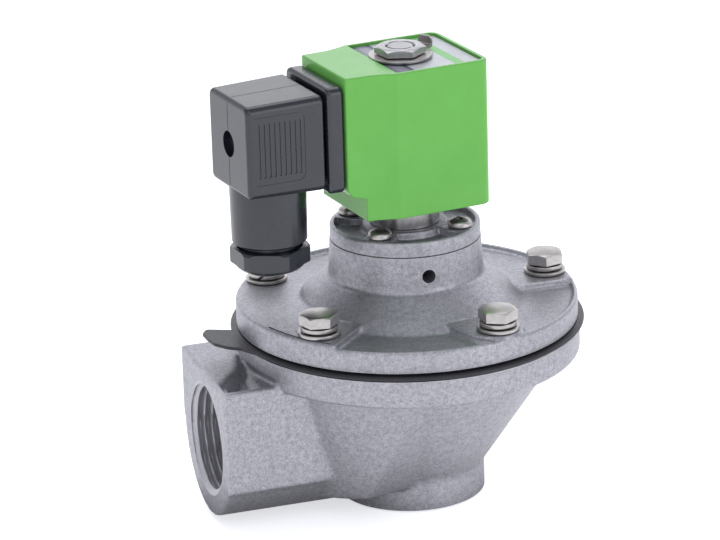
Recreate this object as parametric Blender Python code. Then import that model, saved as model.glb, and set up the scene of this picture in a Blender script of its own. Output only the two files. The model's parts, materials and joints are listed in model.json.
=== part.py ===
"""Dust collector pulse valve, right-angle pattern, with its solenoid head.

The origin is the centre of the outlet's lower face, on the valve's axis. +Z runs up that
axis to the coil's nut. The inlet and the electrical connector point to -X.
"""
import bpy
import bmesh
from math import asin, cos, degrees, radians, sin, sqrt, tau
from mathutils import Matrix

MM = 0.001

# Clearances
GAP = 0.3 * MM
FASTENER_GAP = 0.2 * MM
MERGE = 0.002 * MM
LARGE_STEPS = 40
MEDIUM_STEPS = 28
SMALL_STEPS = 20
TINY_STEPS = 10

# Body casting
BODY_HEIGHT = 51.2 * MM
FLANGE_RADIUS = 50.5 * MM
FLANGE_THICKNESS = 8.2 * MM
BOWL_TOP_RADIUS = 44.6 * MM
BOWL_FOOT_Z = 7.0 * MM
BOWL_FOOT_RADIUS = 21.0 * MM
BOWL_HEEL_RADIUS = 24.0 * MM
BOWL_HEEL_SHIFT = 15.0 * MM
COLLAR_RADIUS = 21.7 * MM
COLLAR_HEIGHT = 12.0 * MM
CHAMBER_RADIUS = 34.0 * MM
CHAMBER_WALL = 5.0 * MM
CHAMBER_FLOOR_Z = 14.0 * MM
SEAT_BORE_RADIUS = 13.5 * MM
SEAT_TUBE_RADIUS = 16.6 * MM
SEAT_LAND = 1.4 * MM

# Pipe ports, for a one-inch parallel pipe thread
PORT_RADIUS = 15.9 * MM
PORT_MOUTH_RADIUS = 17.2 * MM
PORT_WALL = 3.4 * MM
OUTLET_THREAD_DEPTH = 16.0 * MM
INLET_THREAD_DEPTH = 16.0 * MM
INLET_FACE_X = -62.6 * MM
INLET_AXIS_LIFT = 19.4 * MM
INLET_PASSAGE_RADIUS = 14.0 * MM
BOSS_HALF_WIDTH = 21.2 * MM
BOSS_TOP_DROP = 6.4 * MM
BOSS_BOTTOM_Z = 4.5 * MM
BOSS_FOOT_HALF_WIDTH = 11.5 * MM
BOSS_CHAMFER_Z = 12.5 * MM
BOSS_POCKET_DEPTH = 3.5 * MM
BOSS_RIDGE = 2.2 * MM
BOSS_END_WALL = 1.2 * MM
BOSS_TONGUE_LENGTH = 11.8 * MM
BOSS_TONGUE_HALF_WIDTH = 12.5 * MM

# Main diaphragm
DIAPHRAGM_THICKNESS = 1.8 * MM
DIAPHRAGM_RADIUS = 51.8 * MM
TAB_ANGLE = 175.3
TAB_REACH = 60.8 * MM
TAB_HALF_WIDTH = 9.2 * MM
UPPER_PLATE_RADIUS = 20.0 * MM
UPPER_PLATE_THICKNESS = 1.2 * MM
VALVE_DISC_CLEARANCE = 1.2 * MM
VALVE_DISC_THICKNESS = 2.5 * MM

# Cover casting
COVER_RADIUS = 50.0 * MM
COVER_FLANGE_THICKNESS = 5.0 * MM
PAD_HEIGHT = 2.2 * MM
PAD_HALF_WIDTH = 8.6 * MM
LEFT_PAD_HALF_ANGLE = 46.8
COVER_HEIGHT = 24.5 * MM
CONE_FOOT_RADIUS = 34.0 * MM
CONE_TOP_RADIUS = 24.4 * MM
CONE_TOP_DROP = 11.8 * MM
NECK_RADIUS = 21.9 * MM
NECK_DRAFT = 0.5 * MM
SPRING_POCKET_RADIUS = 15.0 * MM
SPRING_POCKET_ROOF = 13.6 * MM
COVER_ROOF = 9.0 * MM
COVER_ROOF_RADIUS = 24.5 * MM
COVER_SKIRT = 2.4 * MM
EXHAUST_RADIUS = 2.0 * MM
EXHAUST_ANGLE = -92.0
EXHAUST_DROP = 5.7 * MM
EXHAUST_GROOVE_DEPTH = 7.9 * MM
PILOT_BORE_RADIUS = 6.2 * MM
PILOT_SEAT_RADIUS = 8.2 * MM
PILOT_GROOVE_RADIUS = 12.9 * MM

# Cover bolts, M6
BOLT_COUNT = 5
BOLT_CIRCLE_RADIUS = 43.2 * MM
BOLT_RADIUS = 3.0 * MM
BOLT_FLATS = 10.0 * MM
BOLT_HEAD_HEIGHT = 3.7 * MM
BOLT_ENGAGEMENT = 6.0 * MM
BOLT_HOLE_SPARE = 1.0 * MM
FLAT_WASHER_RADIUS = 6.2 * MM
FLAT_WASHER_THICKNESS = 1.0 * MM
SPRING_WASHER_RADIUS = 5.4 * MM
SPRING_WASHER_THICKNESS = 1.3 * MM

# Main spring
MAIN_SPRING_RADIUS = 11.5 * MM
MAIN_SPRING_WIRE = 0.6 * MM
MAIN_SPRING_TURNS = 4.0

# Pilot stage
PILOT_DIAPHRAGM_RADIUS = 14.5 * MM
PILOT_DIAPHRAGM_THICKNESS = 1.2 * MM
PILOT_DISC_RADIUS = 7.2 * MM
PILOT_DISC_THICKNESS = 1.0 * MM
PILOT_PLATE_RADIUS = 21.8 * MM
PILOT_PLATE_THICKNESS = 4.2 * MM
PILOT_RIM_WIDTH = 1.8 * MM
PILOT_POCKET_DEPTH = 2.2 * MM
PILOT_HUB_RADIUS = 12.3 * MM
NOZZLE_HUB_RADIUS = 8.6 * MM
NOZZLE_HUB_HEIGHT = 2.0 * MM
NOZZLE_RADIUS = 0.9 * MM
NOZZLE_ROOF = 2.6 * MM
CONTROL_CHAMBER_RADIUS = 11.0 * MM
CONTROL_CHAMBER_HEIGHT = 1.8 * MM
PILOT_SPRING_RADIUS = 5.4 * MM
PILOT_SPRING_WIRE = 0.25 * MM
PILOT_SPRING_TURNS = 2.5
PILOT_SCREW_COUNT = 4
PILOT_SCREW_ANGLE = 47.0
PILOT_SCREW_CIRCLE_RADIUS = 17.4 * MM
PILOT_SCREW_RADIUS = 2.0 * MM
PILOT_SCREW_HEAD_RADIUS = 3.5 * MM
PILOT_SCREW_HEAD_HEIGHT = 2.5 * MM
PILOT_SCREW_ENGAGEMENT = 7.0 * MM
PILOT_BOSS_RADIUS = 4.6 * MM

# Core tube, plunger and fixed core
CORE_COLLAR_RADIUS = 10.2 * MM
CORE_COLLAR_HEIGHT = 4.7 * MM
TUBE_RADIUS = 7.0 * MM
TUBE_BORE_RADIUS = 6.1 * MM
TUBE_LENGTH = 41.1 * MM
PLUNGER_RADIUS = 5.7 * MM
PLUNGER_LENGTH = 22.8 * MM
PLUNGER_TRAVEL = 1.6 * MM
PLUNGER_SEAL_RADIUS = 3.2 * MM
PLUNGER_SEAL_THICKNESS = 1.7 * MM
PLUNGER_BORE_RADIUS = 2.9 * MM
PLUNGER_BORE_DEPTH = 9.0 * MM
PLUNGER_SPRING_RADIUS = 2.3 * MM
PLUNGER_SPRING_WIRE = 0.25 * MM
PLUNGER_SPRING_TURNS = 5.0
STUD_RADIUS = 3.9 * MM

# Coil
COIL_TURN = 7.3
COIL_STANDOFF = 6.7 * MM
COIL_HEIGHT = 43.1 * MM
COIL_FRONT_X = 20.0 * MM
COIL_BACK_X = -18.9 * MM
COIL_PORT_X = -24.5 * MM
COIL_HALF_WIDTH = 17.4 * MM
COIL_PORT_HALF_WIDTH = 14.7 * MM
COIL_KINK_X = -9.6 * MM
COIL_CORNER_RADIUS = 3.2 * MM
COIL_EDGE = 0.7 * MM
COIL_WALL = 2.2 * MM
COIL_ROOF = 3.0 * MM
CAVITY_CORNER = 1.2 * MM
COIL_PORT_RISE = 9.8 * MM
COIL_PORT_SLOPE = 3.0 * MM
RECESS_DEPTH = 1.4 * MM
RECESS_RIM = 1.3 * MM
RECESS_BACK_X = -9.7 * MM
LABEL_THICKNESS = 0.4 * MM
YOKE_THICKNESS = 2.0 * MM
BOBBIN_WALL = 1.0 * MM
WINDING_RADIUS = 13.2 * MM
CLIP_RADIUS = 9.3 * MM
CLIP_THICKNESS = 0.8 * MM
CLIP_TAB_ANGLE = 42.0
CLIP_TAB_REACH = 12.8 * MM
CLIP_TAB_WIDTH = 4.4 * MM
CLIP_TAB_HEIGHT = 2.6 * MM
NUT_FLATS = 13.0 * MM
NUT_HEIGHT = 2.4 * MM
NUT_TURN = 34.2

# Connector, 28 mm square pattern
CONNECTOR_AXIS_Z = 114.4 * MM
BASE_THICKNESS = 5.2 * MM
BASE_HALF_WIDTH = 14.1 * MM
BASE_HALF_HEIGHT = 15.6 * MM
BASE_EDGE = 1.2 * MM
PIN_WIDTH = 6.3 * MM
PIN_THICKNESS = 0.8 * MM
PIN_LENGTH = 9.0 * MM
PIN_SPACING = 8.4 * MM
GASKET_THICKNESS = 1.2 * MM
HOUSING_GAP = 0.8 * MM
HOUSING_LENGTH = 23.7 * MM
HOUSING_HALF_WIDTH = 13.9 * MM
HOUSING_END_HALF_WIDTH = 13.4 * MM
HOUSING_HALF_HEIGHT = 14.0 * MM
HOUSING_WALL = 1.8 * MM
HOUSING_EDGE = 1.2 * MM
SCREW_WELL_RADIUS = 3.8 * MM
SCREW_WELL_DEPTH = 6.0 * MM
CONNECTOR_SCREW_RADIUS = 1.5 * MM
CONNECTOR_SCREW_HEAD_RADIUS = 2.9 * MM
CONNECTOR_SCREW_HEAD_HEIGHT = 2.2 * MM
RIB_COUNT = 9
RIB_DEPTH = 0.5 * MM
PANEL_HALF_WIDTH = 8.0 * MM
PANEL_HALF_HEIGHT = 10.0 * MM
GLAND_AXIS_X = -43.0 * MM
GLAND_BARREL_RADIUS = 10.9 * MM
GLAND_BARREL_DROP = 16.4 * MM
GLAND_SPIGOT_RADIUS = 9.2 * MM
GLAND_SPIGOT_LENGTH = 5.0 * MM
GLAND_BORE_RADIUS = 8.0 * MM
GLAND_NUT_FLATS = 20.0 * MM
GLAND_NUT_HEIGHT = 6.2 * MM
GLAND_NUT_TURN = 4.2
GLAND_NUT_DROP = 1.2 * MM
GLAND_LIP = 1.2 * MM
CABLE_HOLE_RADIUS = 5.2 * MM
CABLE_SEAL_BORE = 3.4 * MM
GLAND_SEAL_LENGTH = 4.0 * MM
GLAND_WASHER_THICKNESS = 0.6 * MM

# Levels that follow from the sizes above
FLANGE_LOW_Z = BODY_HEIGHT - FLANGE_THICKNESS
BOSS_TOP_Z = BODY_HEIGHT - BOSS_TOP_DROP
INLET_AXIS_Z = min(BOSS_BOTTOM_Z + INLET_AXIS_LIFT, BOSS_TOP_Z - PORT_MOUTH_RADIUS - BOSS_POCKET_DEPTH)
DIAPHRAGM_Z = BODY_HEIGHT + GAP
COVER_Z = DIAPHRAGM_Z + DIAPHRAGM_THICKNESS + GAP
COVER_DECK_Z = COVER_Z + COVER_FLANGE_THICKNESS
PAD_Z = COVER_DECK_Z + PAD_HEIGHT
NECK_TOP_Z = COVER_Z + COVER_HEIGHT
UPPER_PLATE_Z = DIAPHRAGM_Z + DIAPHRAGM_THICKNESS + GAP
UPPER_PLATE_TOP_Z = UPPER_PLATE_Z + UPPER_PLATE_THICKNESS
VALVE_DISC_Z = DIAPHRAGM_Z - GAP - VALVE_DISC_THICKNESS
CONE_TOP_Z = NECK_TOP_Z - CONE_TOP_DROP
SPRING_ROOF_Z = COVER_Z + SPRING_POCKET_ROOF
PILOT_SEAT_Z = NECK_TOP_Z - PILOT_DIAPHRAGM_THICKNESS
PILOT_PLATE_Z = NECK_TOP_Z + GAP
PILOT_PLATE_TOP_Z = PILOT_PLATE_Z + PILOT_PLATE_THICKNESS
NOZZLE_Z = PILOT_PLATE_TOP_Z + NOZZLE_HUB_HEIGHT
COIL_Z = PILOT_PLATE_TOP_Z + COIL_STANDOFF
COIL_TOP_Z = COIL_Z + COIL_HEIGHT
RECESS_Z = COIL_TOP_Z - RECESS_DEPTH
TUBE_Z = PILOT_PLATE_TOP_Z + GAP
TUBE_TOP_Z = TUBE_Z + TUBE_LENGTH
PLUNGER_Z = NOZZLE_Z + 2 * GAP
PLUNGER_TOP_Z = PLUNGER_Z + PLUNGER_LENGTH
FIXED_CORE_Z = PLUNGER_TOP_Z + PLUNGER_TRAVEL + GAP
LABEL_Z = RECESS_Z + GAP
CLIP_Z = LABEL_Z + LABEL_THICKNESS + GAP
NUT_Z = CLIP_Z + CLIP_THICKNESS + GAP
BASE_X = COIL_PORT_X - GAP
HOUSING_X = BASE_X - BASE_THICKNESS - HOUSING_GAP
HOUSING_END_X = HOUSING_X - HOUSING_LENGTH
BARREL_FOOT_Z = CONNECTOR_AXIS_Z - HOUSING_HALF_HEIGHT - GLAND_BARREL_DROP
GLAND_NUT_Z = BARREL_FOOT_Z - GAP - GLAND_NUT_HEIGHT - GLAND_NUT_DROP

FINISHES = {
    "cast_aluminium": ((0.42, 0.42, 0.46), 0.85, 0.48),
    "black_rubber": ((0.02, 0.02, 0.022), 0.0, 0.6),
    "bright_steel": ((0.62, 0.60, 0.57), 1.0, 0.25),
    "plain_steel": ((0.45, 0.45, 0.46), 1.0, 0.35),
    "spring_steel": ((0.38, 0.38, 0.40), 1.0, 0.3),
    "green_moulding": ((0.10, 0.52, 0.06), 0.0, 0.3),
    "black_moulding": ((0.03, 0.032, 0.037), 0.0, 0.4),
    "copper": ((0.72, 0.30, 0.16), 1.0, 0.35),
    "brass": ((0.70, 0.50, 0.20), 1.0, 0.3),
    "label_silver": ((0.52, 0.54, 0.56), 0.4, 0.4),
    "bobbin_moulding": ((0.75, 0.73, 0.68), 0.0, 0.5),
}


def clear_scene():
    for item in list(bpy.data.objects):
        bpy.data.objects.remove(item, do_unlink=True)


def finish(name):
    """The shared material of one finish."""
    existing = bpy.data.materials.get(name)
    if existing:
        return existing
    colour, metallic, roughness = FINISHES[name]
    material = bpy.data.materials.new(name)
    material.use_nodes = True
    shader = material.node_tree.nodes["Principled BSDF"]
    shader.inputs["Base Color"].default_value = (*colour, 1.0)
    shader.inputs["Metallic"].default_value = metallic
    shader.inputs["Roughness"].default_value = roughness
    return material


def place(name, shape, finish_name=None):
    """Turn a bmesh into an object. Without a finish it is a working shape."""
    bmesh.ops.recalc_face_normals(shape, faces=shape.faces)
    mesh = bpy.data.meshes.new(name)
    shape.to_mesh(mesh)
    shape.free()
    piece = bpy.data.objects.new(name, mesh)
    bpy.context.scene.collection.objects.link(piece)
    if finish_name:
        mesh.materials.append(finish(finish_name))
    return piece


def bake(piece):
    """Apply the piece's modifiers and keep its finish."""
    depsgraph = bpy.context.evaluated_depsgraph_get()
    mesh = bpy.data.meshes.new_from_object(piece.evaluated_get(depsgraph))
    piece.modifiers.clear()
    piece.data = mesh
    shape = bmesh.new()
    shape.from_mesh(mesh)
    bmesh.ops.remove_doubles(shape, verts=shape.verts, dist=MERGE)
    bmesh.ops.dissolve_degenerate(shape, edges=shape.edges, dist=MERGE)
    shape.to_mesh(mesh)
    shape.free()


def combine(piece, tool, operation):
    """Boolean the tool into the piece and remove the tool."""
    modifier = piece.modifiers.new(operation.lower(), "BOOLEAN")
    modifier.operation = operation
    modifier.solver = "EXACT"
    modifier.object = tool
    bake(piece)
    bpy.data.objects.remove(tool, do_unlink=True)


def cut(piece, tool):
    combine(piece, tool, "DIFFERENCE")


def join(piece, tool):
    combine(piece, tool, "UNION")


def soften(piece, width, segments=2, angle=40.0):
    """Round the edges sharper than the angle."""
    modifier = piece.modifiers.new("soften", "BEVEL")
    modifier.width = width
    modifier.segments = segments
    modifier.limit_method = "ANGLE"
    modifier.angle_limit = radians(angle)
    modifier.use_clamp_overlap = True
    bake(piece)


def smooth(piece, angle=35.0):
    piece.data.shade_smooth()
    piece.data.set_sharp_from_angle(angle=radians(angle))
    return piece


def move(piece, x=0.0, y=0.0, z=0.0, turn=0.0):
    """Move the mesh itself, so that every object keeps its origin on the valve's axis."""
    shift = Matrix.Translation((x, y, z)) @ Matrix.Rotation(radians(turn), 4, "Z")
    piece.data.transform(shift)
    return piece


def turned(name, profile, finish_name=None, steps=MEDIUM_STEPS):
    """Revolve a closed outline of (radius, height) points about the Z axis."""
    shape = bmesh.new()
    points = [shape.verts.new((radius, 0.0, height)) for radius, height in profile]
    edges = []
    for start, end in zip(points, points[1:] + points[:1]):
        if start.co.x > 0.0 or end.co.x > 0.0:
            edges.append(shape.edges.new((start, end)))
    bmesh.ops.spin(shape, geom=points + edges, cent=(0, 0, 0), axis=(0, 0, 1),
                   angle=tau, steps=steps, use_merge=False)
    bmesh.ops.remove_doubles(shape, verts=shape.verts, dist=MERGE)
    return place(name, shape, finish_name)


def prism(name, outline, low, high, finish_name=None, along="Z"):
    """Extrude a closed outline between two levels along Z, X or Y."""
    swap = {"Z": lambda u, v, w: (u, v, w), "X": lambda u, v, w: (w, u, v), "Y": lambda u, v, w: (u, w, v)}
    shape = bmesh.new()
    face = shape.faces.new([shape.verts.new(swap[along](u, v, low)) for u, v in outline])
    grown = bmesh.ops.extrude_face_region(shape, geom=[face])
    step = swap[along](0.0, 0.0, high - low)
    top = [item for item in grown["geom"] if isinstance(item, bmesh.types.BMVert)]
    bmesh.ops.translate(shape, vec=step, verts=top)
    return place(name, shape, finish_name)


def loft(name, rings, finish_name=None):
    """Skin a stack of rings that have the same number of points, and cap both ends."""
    shape = bmesh.new()
    rows = [[shape.verts.new(point) for point in ring] for ring in rings]
    for low, high in zip(rows, rows[1:]):
        for index in range(len(low)):
            following = (index + 1) % len(low)
            shape.faces.new((low[index], low[following], high[following], high[index]))
    shape.faces.new(rows[0])
    shape.faces.new(rows[-1])
    return place(name, shape, finish_name)


def arc(x, y, radius, start, end, steps):
    """Points on an arc, with both ends, angles in degrees."""
    angles = [radians(start + (end - start) * index / steps) for index in range(steps + 1)]
    return [(x + radius * cos(angle), y + radius * sin(angle)) for angle in angles]


def circle(radius, steps=MEDIUM_STEPS, x=0.0, y=0.0):
    return arc(x, y, radius, 0.0, 360.0 * (steps - 1) / steps, steps - 1)


def rounded_box(left, right, low, high, radius, steps=3):
    """Outline of a rectangle with round corners."""
    corners = ((right, high, 0), (left, high, 90), (left, low, 180), (right, low, 270))
    outline = []
    for u, v, angle in corners:
        centre_u = u - radius if u == right else u + radius
        centre_v = v - radius if v == high else v + radius
        outline += arc(centre_u, centre_v, radius, angle, angle + 90, steps)
    return outline


def hexagon(flats, turn=0.0):
    """Outline of a hexagon, with a corner at the turn angle."""
    return circle_turned(flats / sqrt(3.0), 6, turn)


def circle_turned(radius, steps, turn):
    return [(radius * cos(radians(turn) + tau * index / steps),
             radius * sin(radians(turn) + tau * index / steps))
            for index in range(steps)]


def around(count, radius, first=0.0):
    """Centres spread evenly round the valve's axis."""
    angles = [radians(first) + tau * index / count for index in range(count)]
    return [(radius * cos(angle), radius * sin(angle), degrees(angle)) for angle in angles]


def rod(name, radius, start, end, along, centre=(0.0, 0.0), steps=SMALL_STEPS):
    """A plain cylinder along an axis, as a working shape."""
    return prism(name, circle(radius, steps, *centre), start, end, along=along)


def spring(name, radius, wire, low, high, turns, steps=16, sides=6, finish_name="spring_steel"):
    """A compression coil of round wire with its ends closed and square to the axis."""
    shape = bmesh.new()
    count = int(turns * steps)
    rise = high - low - 2 * wire
    rows = []
    for index in range(count + 1):
        angle = tau * index / steps
        share = index / count
        eased = share * share * (3.0 - 2.0 * share)
        height = low + wire + rise * (0.4 * share + 0.6 * eased)
        row = []
        for side in range(sides):
            turn = tau * (side + 0.5) / sides
            reach = radius + wire * cos(turn)
            row.append(shape.verts.new((reach * cos(angle), reach * sin(angle), height + wire * sin(turn))))
        rows.append(row)
    for row, following in zip(rows, rows[1:]):
        for side in range(sides):
            other = (side + 1) % sides
            shape.faces.new((row[side], row[other], following[other], following[side]))
    shape.faces.new(rows[0])
    shape.faces.new(rows[-1])
    return smooth(place(name, shape, finish_name), 60.0)


def hex_head(name, flats, low, high, turn=0.0, finish_name=None):
    """A hexagon with its top corners turned down to a shallow dome."""
    head = prism(name, hexagon(flats, turn), low, high, finish_name)
    reach = flats / sqrt(3.0)
    drop = 0.22 * (high - low)
    dome = turned("dome", [(0, low - GAP), (reach * 1.1, low - GAP), (reach * 1.1, high - 1.6 * drop),
                           (flats * 0.46, high - 0.35 * drop), (flats * 0.3, high), (0, high)], steps=12)
    combine(head, dome, "INTERSECT")
    return head


# Body casting

def bowl_outline(share, inset, level):
    """One level of the bowl: a hull of two circles that come together under the flange."""
    front = BOWL_FOOT_RADIUS + (BOWL_TOP_RADIUS - BOWL_FOOT_RADIUS) * share - inset
    heel = BOWL_HEEL_RADIUS + (BOWL_TOP_RADIUS - BOWL_HEEL_RADIUS) * share - inset
    shift = BOWL_HEEL_SHIFT * (1.0 - share)
    lean = degrees(asin((heel - front) / shift)) if shift > 0.0 else 0.0
    half = LARGE_STEPS // 2
    outline = arc(0.0, 0.0, front, -90.0 - lean, 90.0 + lean, half)
    outline += arc(-shift, 0.0, heel, 90.0 + lean, 270.0 - lean, half)
    return [(u, v, level) for u, v in outline]


def bowl_level(share):
    return BOWL_FOOT_Z + (FLANGE_LOW_Z - BOWL_FOOT_Z) * share


def body_boss():
    """Inlet boss: flat sides, chamfered foot and a relief in its top round the port's collar."""
    outline = [(BOSS_HALF_WIDTH, BOSS_TOP_Z), (BOSS_HALF_WIDTH, BOSS_CHAMFER_Z),
               (BOSS_FOOT_HALF_WIDTH, BOSS_BOTTOM_Z), (-BOSS_FOOT_HALF_WIDTH, BOSS_BOTTOM_Z),
               (-BOSS_HALF_WIDTH, BOSS_CHAMFER_Z), (-BOSS_HALF_WIDTH, BOSS_TOP_Z)]
    boss = prism("boss", outline, INLET_FACE_X, -SEAT_TUBE_RADIUS, along="X")
    soften(boss, 0.9 * MM, 2)
    side = BOSS_HALF_WIDTH - BOSS_RIDGE
    relief = prism("relief", rounded_box(INLET_FACE_X + BOSS_END_WALL, 0.0, -side, side, 2.0 * MM),
                   BOSS_TOP_Z - BOSS_POCKET_DEPTH, BOSS_TOP_Z + GAP)
    collar_end = INLET_FACE_X + BOSS_TONGUE_LENGTH
    collar = rod("collar", BOSS_TOP_Z - INLET_AXIS_Z, INLET_FACE_X, collar_end, "X", (0.0, INLET_AXIS_Z),
                 LARGE_STEPS)
    plan = rounded_box(INLET_FACE_X - BOSS_TONGUE_LENGTH, collar_end, -BOSS_TONGUE_HALF_WIDTH,
                       BOSS_TONGUE_HALF_WIDTH, 0.4 * BOSS_TONGUE_HALF_WIDTH)
    combine(collar, prism("plan", plan, INLET_AXIS_Z, BOSS_TOP_Z + GAP), "INTERSECT")
    cut(relief, collar)
    cut(boss, relief)
    return boss


def body_casting():
    edge = 0.8 * MM
    body = turned("body_casting", [(0, FLANGE_LOW_Z), (FLANGE_RADIUS - edge, FLANGE_LOW_Z),
                                   (FLANGE_RADIUS, FLANGE_LOW_Z + edge),
                                   (FLANGE_RADIUS, BODY_HEIGHT - 0.3 * MM),
                                   (FLANGE_RADIUS - 0.3 * MM, BODY_HEIGHT), (0, BODY_HEIGHT)],
                  "cast_aluminium", LARGE_STEPS)
    shares = (0.0, 0.35, 0.7, 0.999)
    bowl = loft("bowl", [bowl_outline(share, 0.0, bowl_level(share)) for share in shares]
                + [[(u, v, FLANGE_LOW_Z + edge) for u, v, w in bowl_outline(0.999, 0.0, 0.0)]])
    join(body, bowl)
    collar_edge = 0.6 * MM
    join(body, turned("collar", [(0, 0), (COLLAR_RADIUS - collar_edge, 0), (COLLAR_RADIUS, collar_edge),
                                 (COLLAR_RADIUS, COLLAR_HEIGHT), (0, COLLAR_HEIGHT)]))
    join(body, body_boss())

    # The chamber runs round the seat tube, which stands up from the floor to the diaphragm
    floor_share = (CHAMBER_FLOOR_Z - BOWL_FOOT_Z) / (FLANGE_LOW_Z - BOWL_FOOT_Z)
    shoulder = BOWL_TOP_RADIUS - CHAMBER_RADIUS
    chamber = loft("chamber", [bowl_outline(floor_share, CHAMBER_WALL, CHAMBER_FLOOR_Z),
                               bowl_outline(0.999, shoulder, FLANGE_LOW_Z),
                               bowl_outline(0.999, shoulder, BODY_HEIGHT + GAP)])
    thread_wall = PORT_RADIUS + PORT_WALL
    thread_top = OUTLET_THREAD_DEPTH + 3.0 * MM
    cut(chamber, turned("seat_tube", [(0, 0), (thread_wall, 0), (thread_wall, thread_top),
                                      (SEAT_TUBE_RADIUS, thread_top + 4.0 * MM),
                                      (SEAT_TUBE_RADIUS, BODY_HEIGHT - 2 * SEAT_LAND),
                                      (SEAT_BORE_RADIUS + SEAT_LAND, BODY_HEIGHT),
                                      (SEAT_BORE_RADIUS + SEAT_LAND, BODY_HEIGHT + 2 * GAP),
                                      (0, BODY_HEIGHT + 2 * GAP)]))
    cut(body, chamber)
    mouth = PORT_MOUTH_RADIUS - PORT_RADIUS
    cut(body, turned("outlet_bore", [(0, -GAP), (PORT_MOUTH_RADIUS + GAP, -GAP), (PORT_RADIUS, mouth),
                                     (PORT_RADIUS, OUTLET_THREAD_DEPTH),
                                     (SEAT_BORE_RADIUS, OUTLET_THREAD_DEPTH + 3.0 * MM),
                                     (SEAT_BORE_RADIUS, BODY_HEIGHT + GAP), (0, BODY_HEIGHT + GAP)]))
    inlet = turned("inlet_bore", [(0, -GAP), (PORT_MOUTH_RADIUS + GAP, -GAP), (PORT_RADIUS, mouth),
                                  (PORT_RADIUS, INLET_THREAD_DEPTH),
                                  (INLET_PASSAGE_RADIUS, INLET_THREAD_DEPTH + 2.0 * MM),
                                  (INLET_PASSAGE_RADIUS, -INLET_FACE_X - thread_wall - GAP),
                                  (0, -INLET_FACE_X - thread_wall - GAP)])
    inlet_centre = Matrix.Translation((INLET_FACE_X, 0.0, INLET_AXIS_Z))
    inlet.data.transform(inlet_centre @ Matrix.Rotation(radians(90), 4, "Y"))
    cut(body, inlet)
    hole_depth = BOLT_ENGAGEMENT + BOLT_HOLE_SPARE
    for x, y, angle in around(BOLT_COUNT, BOLT_CIRCLE_RADIUS):
        cut(body, rod("tapped_hole", BOLT_RADIUS + GAP, BODY_HEIGHT - hole_depth, BODY_HEIGHT + GAP, "Z",
                      (x, y), TINY_STEPS))
    return smooth(body)


# Main diaphragm and what it carries

def main_diaphragm():
    """Rubber disc with its gripping tab, drilled for the cover bolts and the centre bolt."""
    flare = degrees(asin(1.9 * TAB_HALF_WIDTH / DIAPHRAGM_RADIUS))
    outline = arc(0, 0, DIAPHRAGM_RADIUS, flare, 360.0 - flare, LARGE_STEPS)
    root = DIAPHRAGM_RADIUS * cos(radians(flare))
    for reach, side in ((0.54, -1.45), (0.82, -1.05), (1.0, -0.52), (1.0, 0.52), (0.82, 1.05), (0.54, 1.45)):
        outline.append((root + (TAB_REACH - root) * reach, side * TAB_HALF_WIDTH))
    disc = prism("main_diaphragm", outline, DIAPHRAGM_Z, DIAPHRAGM_Z + DIAPHRAGM_THICKNESS, "black_rubber")
    move(disc, turn=TAB_ANGLE)
    low, high = DIAPHRAGM_Z - GAP, DIAPHRAGM_Z + DIAPHRAGM_THICKNESS + GAP
    cut(disc, rod("centre_hole", BOLT_RADIUS + GAP, low, high, "Z", steps=TINY_STEPS))
    for x, y, angle in around(BOLT_COUNT, BOLT_CIRCLE_RADIUS):
        cut(disc, rod("bolt_hole", BOLT_RADIUS + GAP, low, high, "Z", (x, y), TINY_STEPS))
    return smooth(disc)


def upper_clamp_plate():
    """Pressed steel plate with its rim turned up."""
    lip = UPPER_PLATE_THICKNESS
    return smooth(turned("upper_clamp_plate", [
        (BOLT_RADIUS + GAP, UPPER_PLATE_Z), (UPPER_PLATE_RADIUS - lip, UPPER_PLATE_Z),
        (UPPER_PLATE_RADIUS, UPPER_PLATE_Z + 1.6 * lip), (UPPER_PLATE_RADIUS - 2.0 * lip, UPPER_PLATE_TOP_Z),
        (BOLT_RADIUS + GAP, UPPER_PLATE_TOP_Z)], "plain_steel"))


def valve_disc():
    """Guide plate under the diaphragm, inside the seat's bore."""
    radius = SEAT_BORE_RADIUS - VALVE_DISC_CLEARANCE
    low, high = VALVE_DISC_Z, DIAPHRAGM_Z - GAP
    return smooth(turned("valve_disc", [
        (BOLT_RADIUS + GAP, low), (radius - 0.8 * MM, low), (radius, low + 0.8 * MM),
        (radius, high), (BOLT_RADIUS + GAP, high)], "plain_steel", SMALL_STEPS))


def diaphragm_bolt():
    top = UPPER_PLATE_TOP_Z + FASTENER_GAP + BOLT_HEAD_HEIGHT
    head_top = VALVE_DISC_Z - FASTENER_GAP
    bolt = prism("diaphragm_bolt", hexagon(BOLT_FLATS), head_top - BOLT_HEAD_HEIGHT, head_top, "bright_steel")
    join(bolt, turned("shank", [(0, head_top - GAP), (BOLT_RADIUS, head_top - GAP), (BOLT_RADIUS, top),
                                (BOLT_RADIUS - 0.5 * MM, top + 0.5 * MM), (0, top + 0.5 * MM)],
                      steps=TINY_STEPS))
    return smooth(bolt)


def diaphragm_nut():
    low = UPPER_PLATE_TOP_Z + FASTENER_GAP
    nut = prism("diaphragm_nut", hexagon(BOLT_FLATS), low, low + BOLT_HEAD_HEIGHT, "bright_steel")
    cut(nut, rod("thread", BOLT_RADIUS + GAP, low - GAP, low + BOLT_HEAD_HEIGHT + GAP, "Z", steps=TINY_STEPS))
    return smooth(nut)


# Cover casting

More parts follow.
